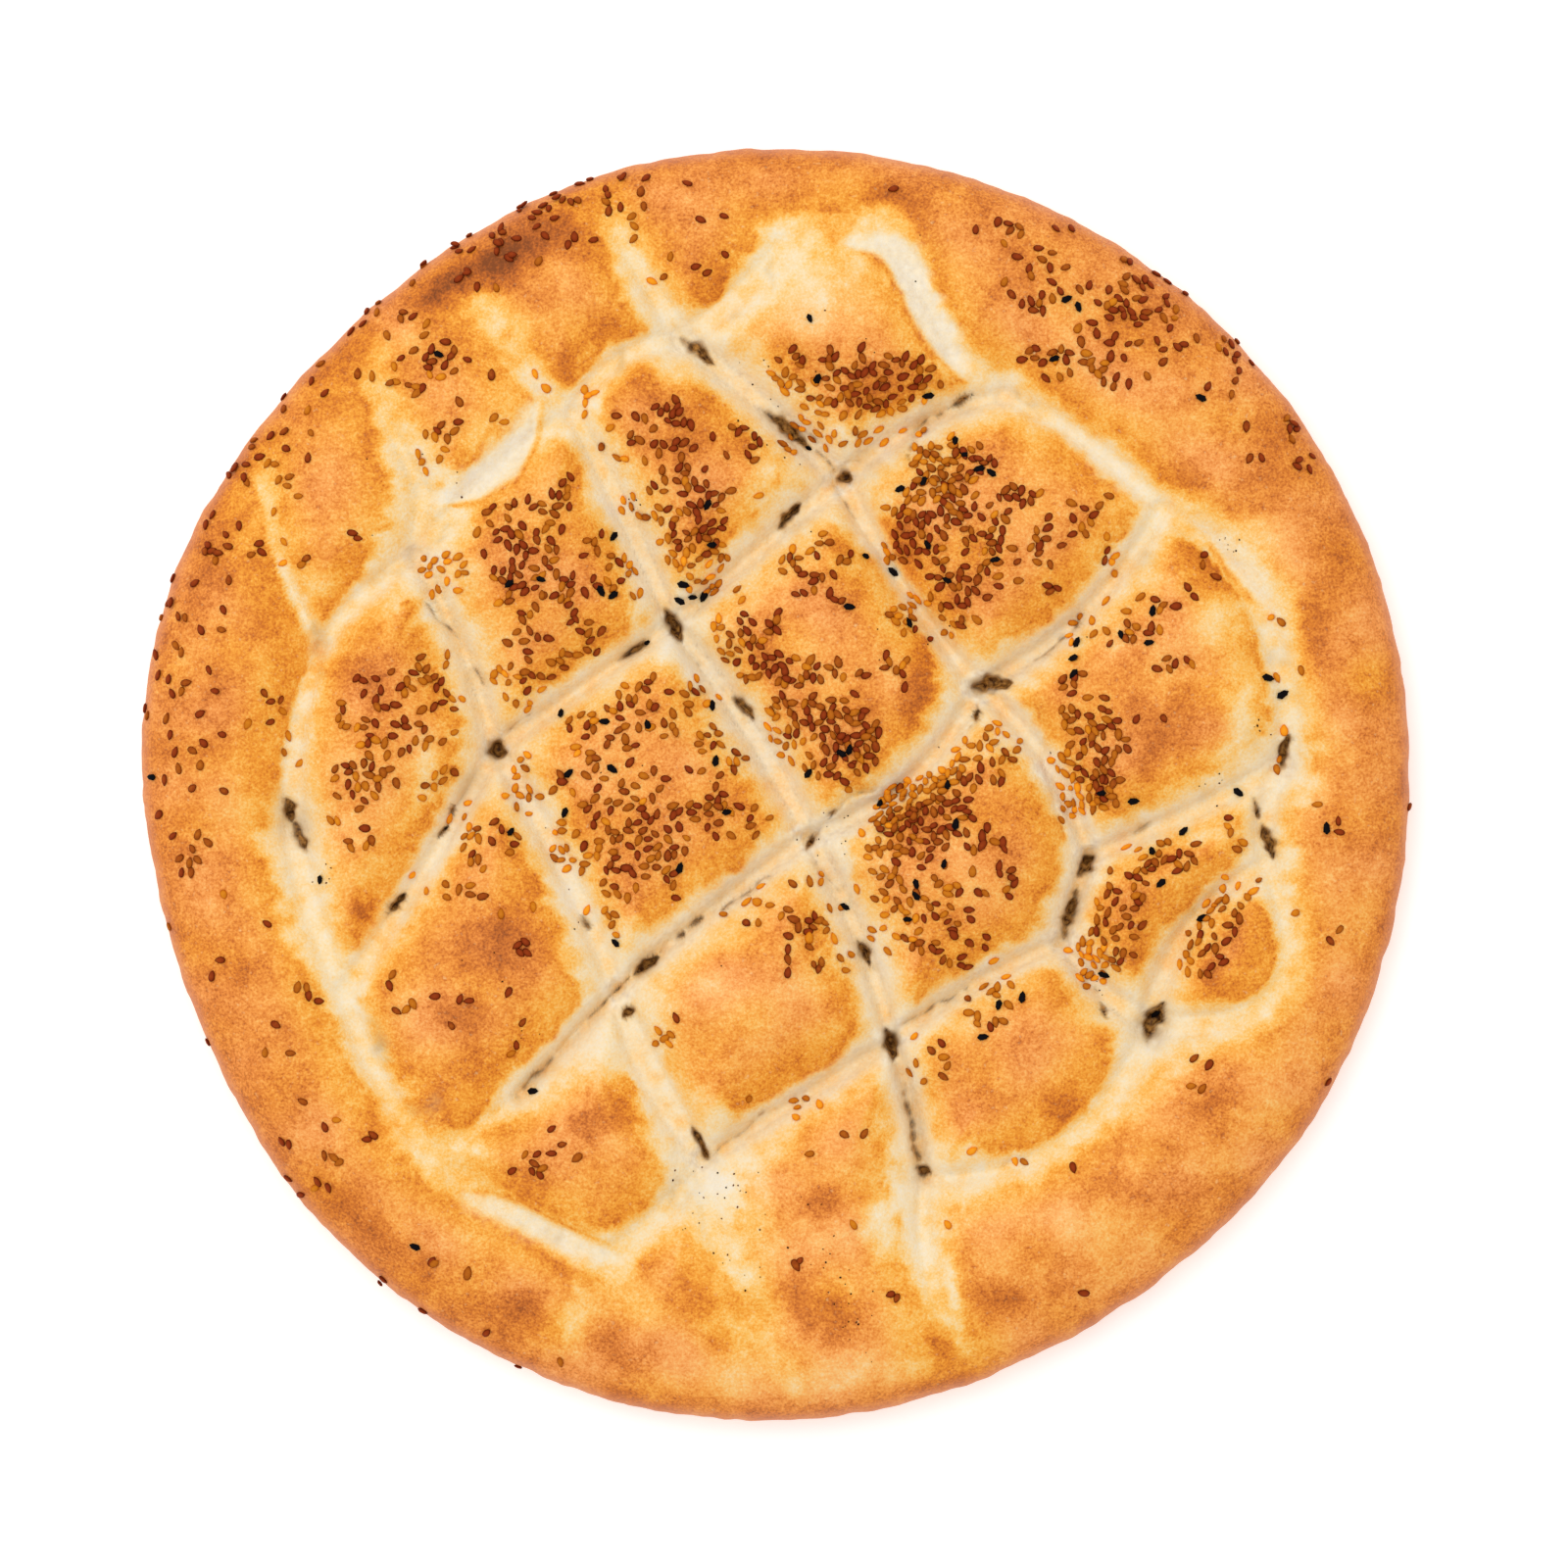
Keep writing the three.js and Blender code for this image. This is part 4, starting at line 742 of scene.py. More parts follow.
outline_angles = np.linspace(0, 2 * math.pi, 1440, endpoint=False)
outline_x = outline_radius(outline_angles) * np.cos(outline_angles)
outline_y = outline_radius(outline_angles) * np.sin(outline_angles)
middle_x = (outline_x.min() + outline_x.max()) / 2
middle_y = (outline_y.min() + outline_y.max()) / 2
places = np.stack([(x - middle_x) * MM, (y - middle_y) * MM, height * MM], 1)
bread_mesh.vertices.foreach_set("co", places.ravel())
bread_mesh.update()

# How brown each place is: the pillows and the rim by their marks, the furrows by how pale the dough stayed,
# with a little painted shade in their folds and painted light on their lips, and more on the shoulders,
# most on those facing east-southeast, which is partly browning and partly painted shade on the side turned
# from the light.
on_rim = smooth_step(-inset, -44, -18)
crust_toast = TOAST_ON_PILLOW + (TOAST_ON_RIM - TOAST_ON_PILLOW) * on_rim + patches(BLOTCHES, x, y)
crust_toast += uneven(x, y, CRUST_CLOUDS)
raw = np.clip(patches(PALE_PLACES, x, y), -1, 1)
floor_toast = TOAST_IN_FURROW * (1 - 0.9 * raw) + uneven(x, y, FURROW_CLOUDS)
in_the_fold = falls_off(furrow_distance, FOLD_WIDTH) * smooth_step(furrow, 6, 10)
lip = np.clip(lips, 0, 1)
# Painted shade darkens the sharp fold at the bottom of a furrow a little, and painted light makes the lips
# beside it a little paler.
floor_toast += 0.05 * in_the_fold - 0.04 * lip
toast = floor_toast + (crust_toast - floor_toast) * browned
shoulder = falls_off(browned - SHOULDER_AT, SHOULDER_SPREAD) * (browned < 0.999)
# The shoulders that face east-southeast, away from the light, get darker still: painted shade on top of
# their browning.
toast += shoulder * (0.04 + 0.09 * facing + 0.06 * lumps(x, y, 34, 47))
half_baked = smooth_step(toast, 0.1, 0.24) * (1 - smooth_step(toast, 0.36, 0.52))
toast += 0.075 * lumps(x, y, 6, 48) * half_baked * is_top
toast -= 0.35 * np.maximum(toast - NEARLY_BURNT, 0)
toast *= 1 - 0.66 * is_torn
toast += 0.75 * scorched * (SCORCHED_TOAST - toast)
edge_toast = TOAST_ON_EDGE + uneven(x, y, EDGE_CLOUDS)
toast += (edge_toast - toast) * smooth_step(-inset, -9, -2) * is_top
under_toast = TOAST_UNDER_EDGE - 0.3 * smooth_step(-height, -7, -2) + 0.06 * lumps(x, y, 12, 39)
turn_toast = edge_toast + (under_toast - edge_toast) * smooth_step(turn, 0.3, 1.2)
belt = 0.14 * smooth_step(lumps(x, y, 60, 49), -0.6, 0.8) * np.sin(np.clip(turn, 0, math.pi / 2) * 2)
toast = np.where(is_turn, turn_toast - belt, toast)
toast = np.where(is_sole, TOAST_ON_SOLE + uneven(x, y, SOLE_CLOUDS), toast)

# Tops and rim have a rosier brown than the golden shoulders of the pillows. Pockets are dark inside, partly
# from their own dark crust and partly from painted shade; creases are darkened by painted shade, and
# painted shade also lies beside both. The torn and the deepest dough is wan.
rosy = smooth_step(furrow_distance - 3 * facing, 6, 17) * np.clip(0.6 + 0.4 * lumps(x, y, 22, 42), 0, 1)
rosy *= 1 - 0.3 * smooth_step(toast, 0.68, 0.85)
# Dark inside pockets and along creases: in pockets partly their own dark crust and partly painted shade
# that deepens inwards, along creases painted shade.
slit_and_shade = np.maximum(smooth_step(pocket, 0.04, 0.55), 0.75 * smooth_step(crease, 0.25, 0.95)) * is_top
# Painted shade: grey brown beside pockets and creases, and in the smudges.
smudged_shade = PAINTED_SHADE_OF_SMUDGE * patches(PAINTED_SHADE_SMUDGES, x, y) * (1 + 0.4 * lumps(x, y, 4, 43))
painted_shade = (PAINTED_SHADE_BY_POCKET * by_pocket + PAINTED_SHADE_BY_CREASE * by_crease + smudged_shade) * is_top
wan = WAN_IN_FURROW * smooth_step(furrow, 6, 12) * (1 - 0.3 * in_the_fold) + WAN_ON_LIP * lip
wan = (wan * (1 - browned) + WAN_IN_TEAR * is_torn) * is_top
floured = 0.3 + 0.4 * smooth_step(lumps(x, y, 9, 44), -0.2, 1.2)
# Painted shade and sheen: a pinkish band round the outline, strongest on the outer edge of the crust and
# the upper turn, weaker down the turn and faint over the sole.
edge_shade_and_sheen = np.where(is_turn, 0.6 - 0.25 * smooth_step(turn, 0.1, 1), 0.2)
edge_shade_and_sheen = np.where(is_top, 0.6 * smooth_step(-inset, -3.5, 0), edge_shade_and_sheen)

for name, values in {
    "toast": toast,
    "rosy": rosy,
    "slit_and_shade": slit_and_shade,
    "painted_shade": painted_shade,
    "wan": np.where(is_sole, floured, wan),
    "edge_shade_and_sheen": edge_shade_and_sheen,
}.items():
    attribute = bread_mesh.attributes.new(name, "FLOAT", "POINT")
    attribute.data.foreach_set("value", np.clip(values, 0, 1).astype(np.float32))
bread_mesh.polygons.foreach_set("use_smooth", np.ones(len(bread_mesh.polygons), bool))
bread = set_down("bread_crust", bread_mesh)

# The finish of the crust: a run of colours from raw dough to dark crust, golden on the shoulders of the
# pillows and rosier on their tops, mottled by a fine grain.
DOUGH_COLOURS = [  # how brown, the golden colour and the rosy one
    (0.00, (240, 229, 208), (240, 229, 208)),
    (0.14, (244, 222, 180), (244, 222, 184)),
    (0.28, (247, 207, 138), (247, 206, 146)),
    (0.42, (248, 188, 90), (249, 187, 108)),
    (0.55, (244, 164, 54), (247, 166, 88)),
    (0.67, (231, 140, 36), (237, 145, 66)),
    (0.79, (208, 114, 28), (212, 119, 46)),
    (0.90, (176, 90, 26), (180, 94, 34)),
    (1.00, (130, 66, 20), (136, 70, 26)),
]
DARK_OF_A_SHADED_POCKET, LIGHT_IN_A_SHADED_POCKET = (78, 44, 14), (190, 136, 66)
WAN_SHADE, WAN_LIGHT = (226, 208, 184), (246, 233, 208)
GLINT_SPECK_COLOUR = (250, 206, 142)
EDGE_SHADE_AND_SHEEN_COLOUR = (216, 134, 92)
PAINTED_SHADE_COLOUR = (196, 162, 112)
SKIN_GRAIN_HEIGHT = 0.35
SKIN_GRAIN_STRENGTH = 0.7

nodes, wire, crust_look = new_finish(bread, "browned_crust", roughness=0.55, shine=0.2)


def grain(size, detail, roughness):
    """A fine pattern with spots of about `size` millimetres."""
    pattern = nodes.new("ShaderNodeTexNoise")
    pattern.inputs["Scale"].default_value = 1 / (size * MM)
    pattern.inputs["Detail"].default_value = detail
    pattern.inputs["Roughness"].default_value = roughness
    wire(nodes.new("ShaderNodeTexCoord").outputs["Object"], pattern.inputs["Vector"])
    return pattern.outputs["Fac"]


def painted(name):
    """A value that was worked out above for every place."""
    held = nodes.new("ShaderNodeAttribute")
    held.attribute_name = name
    return held.outputs["Fac"]


def feed(sockets, values):
    """Gives each socket its value, or the wire that brings it."""
    for socket, value in zip(sockets, values):
        if isinstance(value, (int, float, list)):
            socket.default_value = value
        else:
            wire(value, socket)


def reckon(operation, *values):
    """One sum in the finish, of values or wires."""
    result = nodes.new("ShaderNodeMath")
    result.operation = operation
    feed(result.inputs, values)
    return result.outputs["Value"]


def swing(size, detail, roughness):
    """The same pattern as `grain`, but swinging to both sides of nought."""
    return reckon("SUBTRACT", grain(size, detail, roughness), 0.5)


def blend(share, lower, upper):
    """Two colours mixed by a share. Each is a wire or a look's three values."""
    mix = nodes.new("ShaderNodeMix")
    mix.data_type = "RGBA"
    colours = [seen(*colour) if isinstance(colour, tuple) else colour for colour in (lower, upper)]
    feed((mix.inputs[0], mix.inputs[6], mix.inputs[7]), (share, *colours))
    return mix.outputs[2]


def colours_along(share, *stops):
    """A run of colours, each stop a share from 0 to 1 and a look's three values."""
    run = nodes.new("ShaderNodeValToRGB")
    held = run.color_ramp.elements
    for index, (position, colour) in enumerate(stops):
        stop = held[index] if index < 2 else held.new(position)
        stop.position = position
        stop.color = seen(*colour)
    wire(share, run.inputs["Fac"])
    return run.outputs["Color"]


freckle = swing(2.2, 2, 0.55)
mottle = reckon("MULTIPLY_ADD", swing(0.7, 2, 0.65), 0.74, reckon("MULTIPLY", freckle, 0.34))
mottle = reckon("MULTIPLY_ADD", swing(6, 3, 0.6), 0.2, mottle)
calm = reckon("MULTIPLY_ADD", painted("toast"), 0.9, 0.4)
calm = reckon("MINIMUM", calm, reckon("MULTIPLY_ADD", painted("toast"), -1.5, 2.0))
brownness = reckon("MULTIPLY_ADD", mottle, calm, painted("toast"))
golden = colours_along(brownness, *[(share, colour) for share, colour, _ in DOUGH_COLOURS])
rosier = colours_along(brownness, *[(share, colour) for share, _, colour in DOUGH_COLOURS])
look = blend(painted("rosy"), golden, rosier)

bubbly = reckon("MULTIPLY_ADD", swing(1.7, 1, 0.5), 3.0, 0.6)
wan_share = reckon("MULTIPLY", painted("wan"), reckon("MULTIPLY_ADD", freckle, 2.4, 0.9))
look = blend(wan_share, look, blend(bubbly, WAN_SHADE, WAN_LIGHT))
# Painted highlights: tiny pale glints scattered over the crust, most on mid brown and fewer on the palest
# and the darkest.
glint_specks = reckon("MULTIPLY", reckon("SUBTRACT", grain(1.1, 1, 0.5), 0.66), 5.0)
calmer_where_dark = reckon("MULTIPLY_ADD", painted("toast"), -2.2, 2.1)
where_brown = reckon("MINIMUM", painted("toast"), calmer_where_dark)
glint_specks = reckon("MULTIPLY", reckon("MAXIMUM", glint_specks, 0.0), where_brown)
look = blend(reckon("MAXIMUM", glint_specks, 0.0), look, GLINT_SPECK_COLOUR)
# The painted shade and sheen round the outline.
look = blend(painted("edge_shade_and_sheen"), look, EDGE_SHADE_AND_SHEEN_COLOUR)
# The painted shade, mixed in as a grey brown.
look = blend(reckon("MULTIPLY", painted("painted_shade"), 0.7), look, PAINTED_SHADE_COLOUR)
# The dark of pockets and creases, their own crust and painted shade, mottled by a grain.
shaded_pocket_grain = colours_along(grain(1.3, 2, 0.5), (0.36, DARK_OF_A_SHADED_POCKET), (0.66, LIGHT_IN_A_SHADED_POCKET))
wire(blend(painted("slit_and_shade"), look, shaded_pocket_grain), crust_look["Base Color"])

bump = nodes.new("ShaderNodeBump")
bump.inputs["Strength"].default_value = SKIN_GRAIN_STRENGTH
bump.inputs["Distance"].default_value = SKIN_GRAIN_HEIGHT * MM
wire(grain(0.9, 4, 0.6), bump.inputs["Height"])
wire(bump.outputs["Normal"], crust_look["Normal"])

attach(bread, "root")
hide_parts("pide")

# ---- The sesame seeds ----------------------------------------------------------------------------------
# Hulled sesame, thrown on by the handful before baking. It sticks to the wet dough, toasts brown on the
# pillows and stays golden in the pale furrows. Each seed is a flat drop.

# Handfuls as they fell: middle, reach along and across a slant in degrees, and how many seeds.
HANDFULS = [
    (20, 102, 21, 8, -5, 85), (16, 91, 15, 5, 0, 22), (84, 114, 16, 13, -20, 48),
    (64, 130, 8, 12, 20, 20), (93, 124, 12, 8, -40, 20), (74, 108, 10, 6, 0, 8), (-28, 89, 9, 9, 0, 26),
    (-22, 66, 17, 9, -80, 78), (-43, 90, 10, 5, -60, 12), (-10, 80, 13, 5, -70, 12),
    (45, 83, 9, 7, 0, 26), (36, 70, 14, 8, 70, 54), (43, 80, 8, 6, 0, 26), (47, 58, 14, 9, -80, 42),
    (42, 44, 11, 7, 0, 26), (64, 62, 16, 15, 0, 40), (82, 66, 12, 5, -70, 12), (-8, 37, 12, 8, -70, 38),
    (11, 12, 15, 9, -20, 84), (3, 27, 8, 6, 0, 20), (11, 55, 11, 9, 60, 26), (20, 26, 12, 9, 0, 18),
    (79, 12, 17, 7, -75, 62), (79, -2, 7, 6, 0, 26), (86, 41, 13, 6, 20, 22), (92, 20, 12, 12, 0, 8),
    (34, -8, 14, 9, 35, 84), (32, -5, 9, 5, 35, 18), (53, 6, 10, 7, 45, 30), (45, -22, 14, 13, 0, 40),
    (35, -36, 12, 7, 20, 26), (50, -43, 9, 5, 0, 10), (27, -26, 8, 4, -75, 12),
    (-38, -12, 19, 13, 10, 92), (-45, 10, 14, 9, 40, 36), (-29, 20, 12, 10, 0, 26),
    (-11, -6, 9, 8, 0, 20), (-17, 8, 8, 7, 0, 14), (-37, -30, 12, 5, 10, 10), (-60, 2, 6, 10, 0, 10),
    (-66, 64, 12, 9, 30, 36), (-60, 52, 10, 8, 0, 30), (-57, 38, 12, 8, 0, 28), (-63, 27, 9, 6, 0, 18),
    (-45, 50, 9, 13, 0, 20), (-84, 53, 7, 5, 0, 16), (-55, 70, 6, 8, 0, 8), (-101, 15, 15, 9, -70, 38),
    (-93, 29, 10, 6, 10, 16), (-105, 1, 10, 6, 0, 18), (-84, 15, 7, 10, 0, 10), (-106, -12, 9, 7, 0, 8),
    (-87, -2, 6, 9, 0, 7), (-89, 106, 11, 8, 20, 20), (-87, 86, 5, 8, 0, 10), (-72, 100, 14, 12, 0, 8),
    (-116, 66, 12, 20, 0, 7), (-73, -8, 12, 9, 0, 18), (-80, -24, 14, 6, 0, 12), (-68, -35, 8, 6, 0, 6),
    (-92, -54, 7, 5, 0, 6), (-70, -58, 12, 8, 0, 7), (-64, -93, 13, 6, 0, 11), (1, -31, 18, 7, 10, 26),
    (10, -41, 14, 6, 0, 12), (-26, -63, 5, 5, 0, 6), (-3, -79, 8, 2, 0, 4), (12, -88, 12, 8, 0, 5),
    (54, -55, 10, 6, 20, 14), (39, -68, 5, 9, 0, 9), (86, -33, 17, 6, 80, 40), (82, -41, 5, 8, 0, 16),
    (113, -28, 7, 5, 30, 12), (98, -19, 9, 6, 20, 20), (109, -40, 12, 6, 50, 26), (106, 50, 8, 7, 0, 6),
    (116, -13, 4, 3, 0, 5), (-50, 142, 24, 12, 20, 20), (-20, 142, 14, 14, 0, 10),
    (52, 146, 26, 8, -15, 8), (120, 96, 12, 26, 35, 18), (-130, 74, 16, 22, -30, 16),
    (-148, 10, 9, 34, 0, 22), (-128, 14, 8, 24, 0, 9), (-132, -52, 14, 22, 30, 9),
    (-116, -92, 16, 16, 0, 14), (106, -74, 5, 5, 0, 4), (128, 20, 8, 22, 0, 7), (140, -30, 10, 26, 0, 5),
    (55, -108, 34, 16, 0, 5), (20, -120, 40, 20, 0, 5),
]
RIM_EDGE_SEEDS = [  # between which degrees round the bread, and how many
    (100, 150, 66), (150, 186, 30), (30, 70, 12), (186, 250, 16), (300, 360, 4),
]
RIM_SEED_BAND = 17

SESAME_LENGTH = 2.9
SESAME_WIDTH = 1.8
SESAME_THICKNESS = 0.95
SESAME_SINKING = 0.16
CLOSE_SEEDS = 1.55
TRIES = 8  # how often a seed is thrown again if it falls on another
CLINGING = 0.3  # the share of seeds that fell together with one of the last few
LAST_FEW = 9
LAST_HUNDREDS = 400
CLING_NEAR, CLING_FAR = 1.4, 3.4
LEANING_REACH = 1.6  # a seed that lies this near others leans on them
LEANING_LIFT = 0.45
LEANING_TILT = 0.25
RESTING_TILT = 0.08
SHADE_SPREAD = 0.17  # how much some seeds toast more than others beside them
DROP_HEIGHT = 0.1  # metres
TOO_OPEN = 0.5  # no seed stays on a place this far inside a pocket or a crease
GOLDEN_EDGE, TOASTED_EDGE = (238, 132, 14), (98, 30, 8)
GOLDEN_MIDDLE, TOASTED_MIDDLE = (248, 162, 36), (152, 60, 20)


def drop_form(length, width, thickness, taper, sides, rings):
    """A flat drop that narrows towards one end, in millimetres round its middle: corners and faces."""
    form = bmesh.new()
    bmesh.ops.create_uvsphere(form, u_segments=sides, v_segments=rings, radius=0.5)
    bmesh.ops.rotate(form, verts=form.verts[:], matrix=Matrix.Rotation(math.pi / sides, 3, "Z"))
    for corner in form.verts:
        narrow = 1 - taper * max(0, corner.co.x * 2) ** 1.7 + 0.22 * max(0, -corner.co.x * 2) ** 2
        corner.co = (corner.co.x * length, corner.co.y * width * narrow, corner.co.z * thickness)
    form.verts.index_update()
    corners = np.array([v.co for v in form.verts])
    faces = [[v.index for v in face.verts] for face in form.faces]
    form.free()
    return corners, faces


crust_faces = [p.vertices[:] for p in bread_mesh.polygons]
crust_tree = BVHTree.FromPolygons([v.co for v in bread_mesh.vertices], crust_faces)


def lie_on_crust(x, y):
    """Where something dropped at (x, y) comes to lie: place, slope, how brown and how open the crust is."""
    above = Vector(((x - middle_x) * MM, (y - middle_y) * MM, DROP_HEIGHT))
    place, slope, index, _ = crust_tree.ray_cast(above, Vector((0, 0, -1)))
    if place is None:
        return None
    corner = crust_faces[index][0]
    return place, slope, toast[corner], slit_and_shade[corner]


def strewn(name, form, lies, sizes, shades):
    """One joined mesh of many seeds. Each lies at a place and slope, turned, tilted and lifted."""
    corners, faces = form
    count = len(lies)
    everywhere = np.zeros((count, len(corners), 3))
    for i, (place, slope, turn, tilt, lift) in enumerate(lies):
        lie = slope.to_track_quat("Z", "X").to_matrix()
        spun = np.array(Matrix.Rotation(turn, 3, "Z") @ Matrix.Rotation(tilt, 3, "Y"))
        lifted = (corners * sizes[i]) @ spun.T + np.array([0, 0, lift])
        everywhere[i] = (lifted @ np.array(lie).T) * MM + np.array(place)
    mesh = bpy.data.meshes.new(name)
    starts = np.arange(count) * len(corners)
    all_faces = [[corner + start for corner in face] for start in starts for face in faces]
    mesh.from_pydata(everywhere.reshape(-1, 3).tolist(), [], all_faces)
    # How high each corner stands on its seed; the sesame finish paints the top lighter and the sides darker
    # with it.
    upper = np.clip(corners[:, 2] / corners[:, 2].max(), 0, 1)
    for mark, values in ("shade", np.repeat(shades, len(corners))), ("pale_lit_top", np.tile(upper, count)):
        attribute = mesh.attributes.new(mark, "FLOAT", "POINT")
        attribute.data.foreach_set("value", values.astype(np.float32))
    mesh.shade_smooth()
    mesh.update()
    return set_down(name, mesh)


draw = np.random.default_rng(2719)
sesame_places = []


def crowded(x, y):
    """Whether one of the last few hundred seeds lies too near."""
    last_seeds = np.array(sesame_places[-LAST_HUNDREDS:]).reshape(-1, 2)
    return (np.hypot(*(last_seeds - (x, y)).T) < CLOSE_SEEDS).any()


for hx, hy, along, across, slant, count in HANDFULS:
    turn = math.radians(slant)
    fallen = []
    for _ in range(count):
        for _ in range(TRIES):
            reach = math.sqrt(draw.uniform()) * (0.9 + 0.25 * draw.uniform())
            way = draw.uniform(0, 2 * math.pi)
            a, b = along * reach * math.cos(way), across * reach * math.sin(way)
            px = hx + a * math.cos(turn) - b * math.sin(turn)
            py = hy + a * math.sin(turn) + b * math.cos(turn)
            if fallen and draw.uniform() < CLINGING:
                px, py = fallen[-1 - int(draw.uniform() * min(len(fallen), LAST_FEW))]
                px += draw.uniform(CLING_NEAR, CLING_FAR) * math.cos(way)
                py += draw.uniform(CLING_NEAR, CLING_FAR) * math.sin(way)
            if not crowded(px, py):
                break
        fallen.append((px, py))
        sesame_places.append((px, py))
for first, last, count in RIM_EDGE_SEEDS:
    for _ in range(count):
        way = math.radians(draw.uniform(first, last))
        inside = 0.1 + RIM_SEED_BAND * draw.uniform() ** 1.8
        radius = outline_radius(np.array([way]))[0] - inside
        sesame_places.append((radius * math.cos(way), radius * math.sin(way)))

sesame_lies, sesame_shades = [], []
laid = np.zeros((0, 2))
for px, py in sesame_places:
    found = lie_on_crust(px, py)
    if found is None or found[3] > TOO_OPEN:
        continue
    place, slope, brown, _ = found
    others = int((np.hypot(laid[:, 0] - px, laid[:, 1] - py) < LEANING_REACH).sum())
    lift = SESAME_THICKNESS / 2 - SESAME_SINKING + LEANING_LIFT * min(others, 2)
    tilt = draw.normal(0, RESTING_TILT) + LEANING_TILT * others * draw.uniform(-1, 1)
    sesame_lies.append((place, slope, draw.uniform(0, 2 * math.pi), tilt, lift))
    sesame_shades.append(np.clip(0.1 + 1.2 * brown + draw.normal(0, SHADE_SPREAD), 0, 1.1))
    laid = np.vstack([laid, (px, py)])

sesame_count = len(sesame_lies)
sesame_sizes = draw.normal(1, 0.07, (sesame_count, 1, 1)) * draw.normal(1, 0.05, (sesame_count, 1, 3))
sesame_form = drop_form(SESAME_LENGTH, SESAME_WIDTH, SESAME_THICKNESS, taper=0.5, sides=12, rings=4)
sesame = strewn("sesame_seeds", sesame_form, sesame_lies, sesame_sizes, sesame_shades)

nodes, wire, hull_look = new_finish(sesame, "toasted_hull", roughness=0.5, shine=0.03)
toasting = reckon("MULTIPLY_ADD", swing(0.8, 2, 0.5), 0.25, painted("shade"))
hull_edge = colours_along(toasting, (0.15, GOLDEN_EDGE), (0.88, TOASTED_EDGE))
hull_middle = colours_along(toasting, (0.15, GOLDEN_MIDDLE), (0.92, TOASTED_MIDDLE))
# Each seed is darker at its sides and lighter on its top: partly its own darker rim, partly painted shade
# and painted highlight.
wire(blend(reckon("POWER", painted("pale_lit_top"), 1.6), hull_edge, hull_middle), hull_look["Base Color"])
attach(sesame, "root")
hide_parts("pide")

# ---- The nigella seeds ---------------------------------------------------------------------------------
# Small black angular seeds, far fewer than the sesame, that fell singly and in twos and threes. They stick
# to the wet dough like the sesame, and the oven doesn't change their black.

NIGELLA_LENGTH = 3.2
NIGELLA_WIDTH = 1.9
NIGELLA_THICKNESS = 1.25
NIGELLA_SINKING = 0.1
NIGELLA_TILT = 0.15
DEEP_BLACK, DULL_BLACK = (4, 3, 5), (20, 16, 18)
NIGELLA_PLACES = [
    (-86, 109), (8, 118), (10, 103), (38, 99), (73, 123), (76, 121), (70, 108), (107, 98), (45, 87),
    (47, 84), (37, 77), (31, 75), (51, 80), (54, 79), (22, 58), (29, 54), (38, 61), (55, 57), (43, 52),
    (-18, 71), (-17, 61), (-42, 63), (-22, 48), (-24, 51), (-25, 47), (-19, 48), (-60, 52), (-45, 49),
    (-42, 48), (-68, 51), (-33, 36), (18, 45), (33, 41), (75, 32), (75, 28), (76, 36), (87, 38), (94, 36),
    (95, 44), (124, 27), (128, 23), (-55, 18), (-44, 16), (-33, 15), (-17, 20), (-16, 6), (-53, 3),
    (-42, 4), (-54, -7), (-13, -7), (-25, -21), (-41, -40), (-68, -12), (-116, -24), (8, 3), (16, 8),
    (18, 9), (43, 0), (26, -5), (45, -10), (42, -20), (35, -25), (35, -28), (33, -34), (17, -31),
    (97, -25), (82, -2), (90, -4), (95, -17), (103, -12), (108, -34), (83, -48), (117, -2), (56, -56),
    (62, -54), (52, -64), (-62, -78), (-92, -117), (139, -11), (8, 86), (-159, 2), (96, -58),
]
nigella_lies = []
for px, py in NIGELLA_PLACES:
    place, slope, _, _ = lie_on_crust(px, py)
    lift = NIGELLA_THICKNESS / 2 - NIGELLA_SINKING
    nigella_lies.append((place, slope, draw.uniform(0, 2 * math.pi), draw.normal(0, NIGELLA_TILT), lift))
nigella_count = len(nigella_lies)
nigella_sizes = draw.normal(1, 0.08, (nigella_count, 1, 1))
nigella_form = drop_form(NIGELLA_LENGTH, NIGELLA_WIDTH, NIGELLA_THICKNESS, taper=0.6, sides=6, rings=5)
nigella = strewn("nigella_seeds", nigella_form, nigella_lies, nigella_sizes, np.ones(nigella_count))
nigella.data.shade_flat()
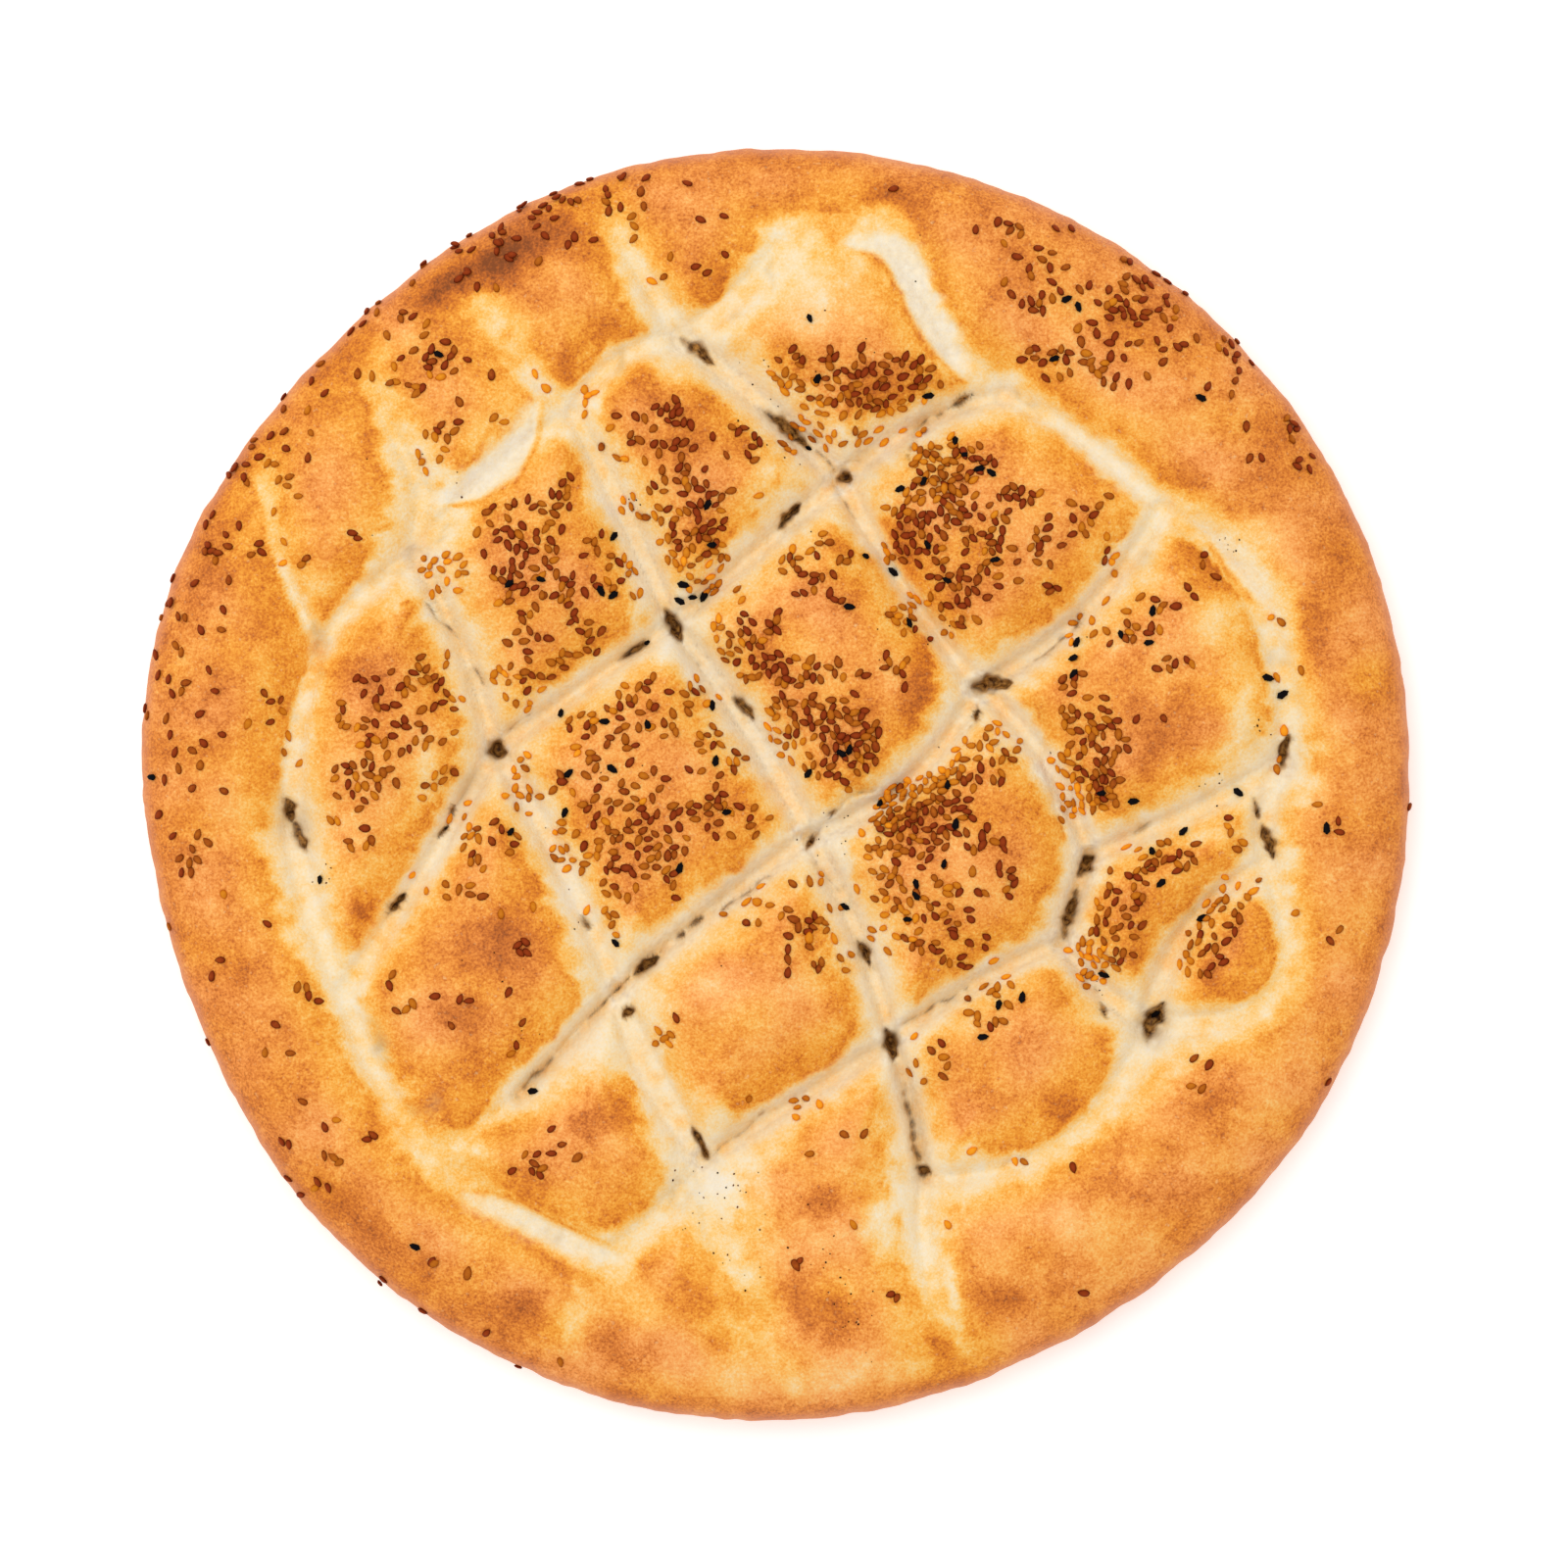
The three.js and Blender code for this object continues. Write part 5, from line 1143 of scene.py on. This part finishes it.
nodes, wire, black_look = new_finish(nigella, "black_hull", roughness=0.6, shine=0.04)
wire(blend(grain(0.7, 2, 0.5), DEEP_BLACK, DULL_BLACK), black_look["Base Color"])
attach(nigella, "root")
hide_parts("pide")

# ---- The seed dust -------------------------------------------------------------------------------------
# Broken hulls and burnt specks no bigger than a grain of sand, which came out of the bag with the seeds.
# They stick to the crust in and beside the furrows.

DUST_LENGTH = 0.5
DUST_LIFT = 0.08
BURNT_BROWN, TOASTED_BROWN = (24, 12, 8), (112, 56, 20)
DUST_PATCHES = [  # middle, reach, how many
    (-37, 71, 3, 8), (-20, -105, 10, 14), (-8, -103, 6, 8), (-12, -122, 8, 8), (15, -128, 10, 16),
    (20, -140, 8, 8), (5, -112, 10, 8), (-62, -50, 20, 8), (13, -12, 7, 10), (115, 60, 4, 8),
    (80, -52, 4, 6), (22, 125, 20, 5), (-95, 75, 15, 6), (-118, -20, 6, 5), (110, -2, 6, 6),
    (125, 15, 5, 6), (0, 95, 15, 8), (-30, -10, 40, 12), (40, 30, 50, 14), (-8, 100, 10, 6),
]
dust_lies = []
for hx, hy, reach, count in DUST_PATCHES:
    for _ in range(count):
        away, way = reach * math.sqrt(draw.uniform()), draw.uniform(0, 2 * math.pi)
        place, slope, _, _ = lie_on_crust(hx + away * math.cos(way), hy + away * math.sin(way))
        dust_lies.append((place, slope, draw.uniform(0, 2 * math.pi), 0, DUST_LIFT))
dust_count = len(dust_lies)
dust_sizes = draw.uniform(0.7, 1.4, (dust_count, 1, 1)) * draw.uniform(0.7, 1.3, (dust_count, 1, 3))
dust_form = drop_form(DUST_LENGTH, 0.8 * DUST_LENGTH, 0.5 * DUST_LENGTH, taper=0.3, sides=5, rings=3)
dust = strewn("seed_dust", dust_form, dust_lies, dust_sizes, draw.uniform(0, 1, dust_count))
nodes, wire, burnt_look = new_finish(dust, "burnt_specks", roughness=0.7, shine=0.04)
wire(blend(painted("shade"), BURNT_BROWN, TOASTED_BROWN), burnt_look["Base Color"])
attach(dust, "root")
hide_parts("pide")
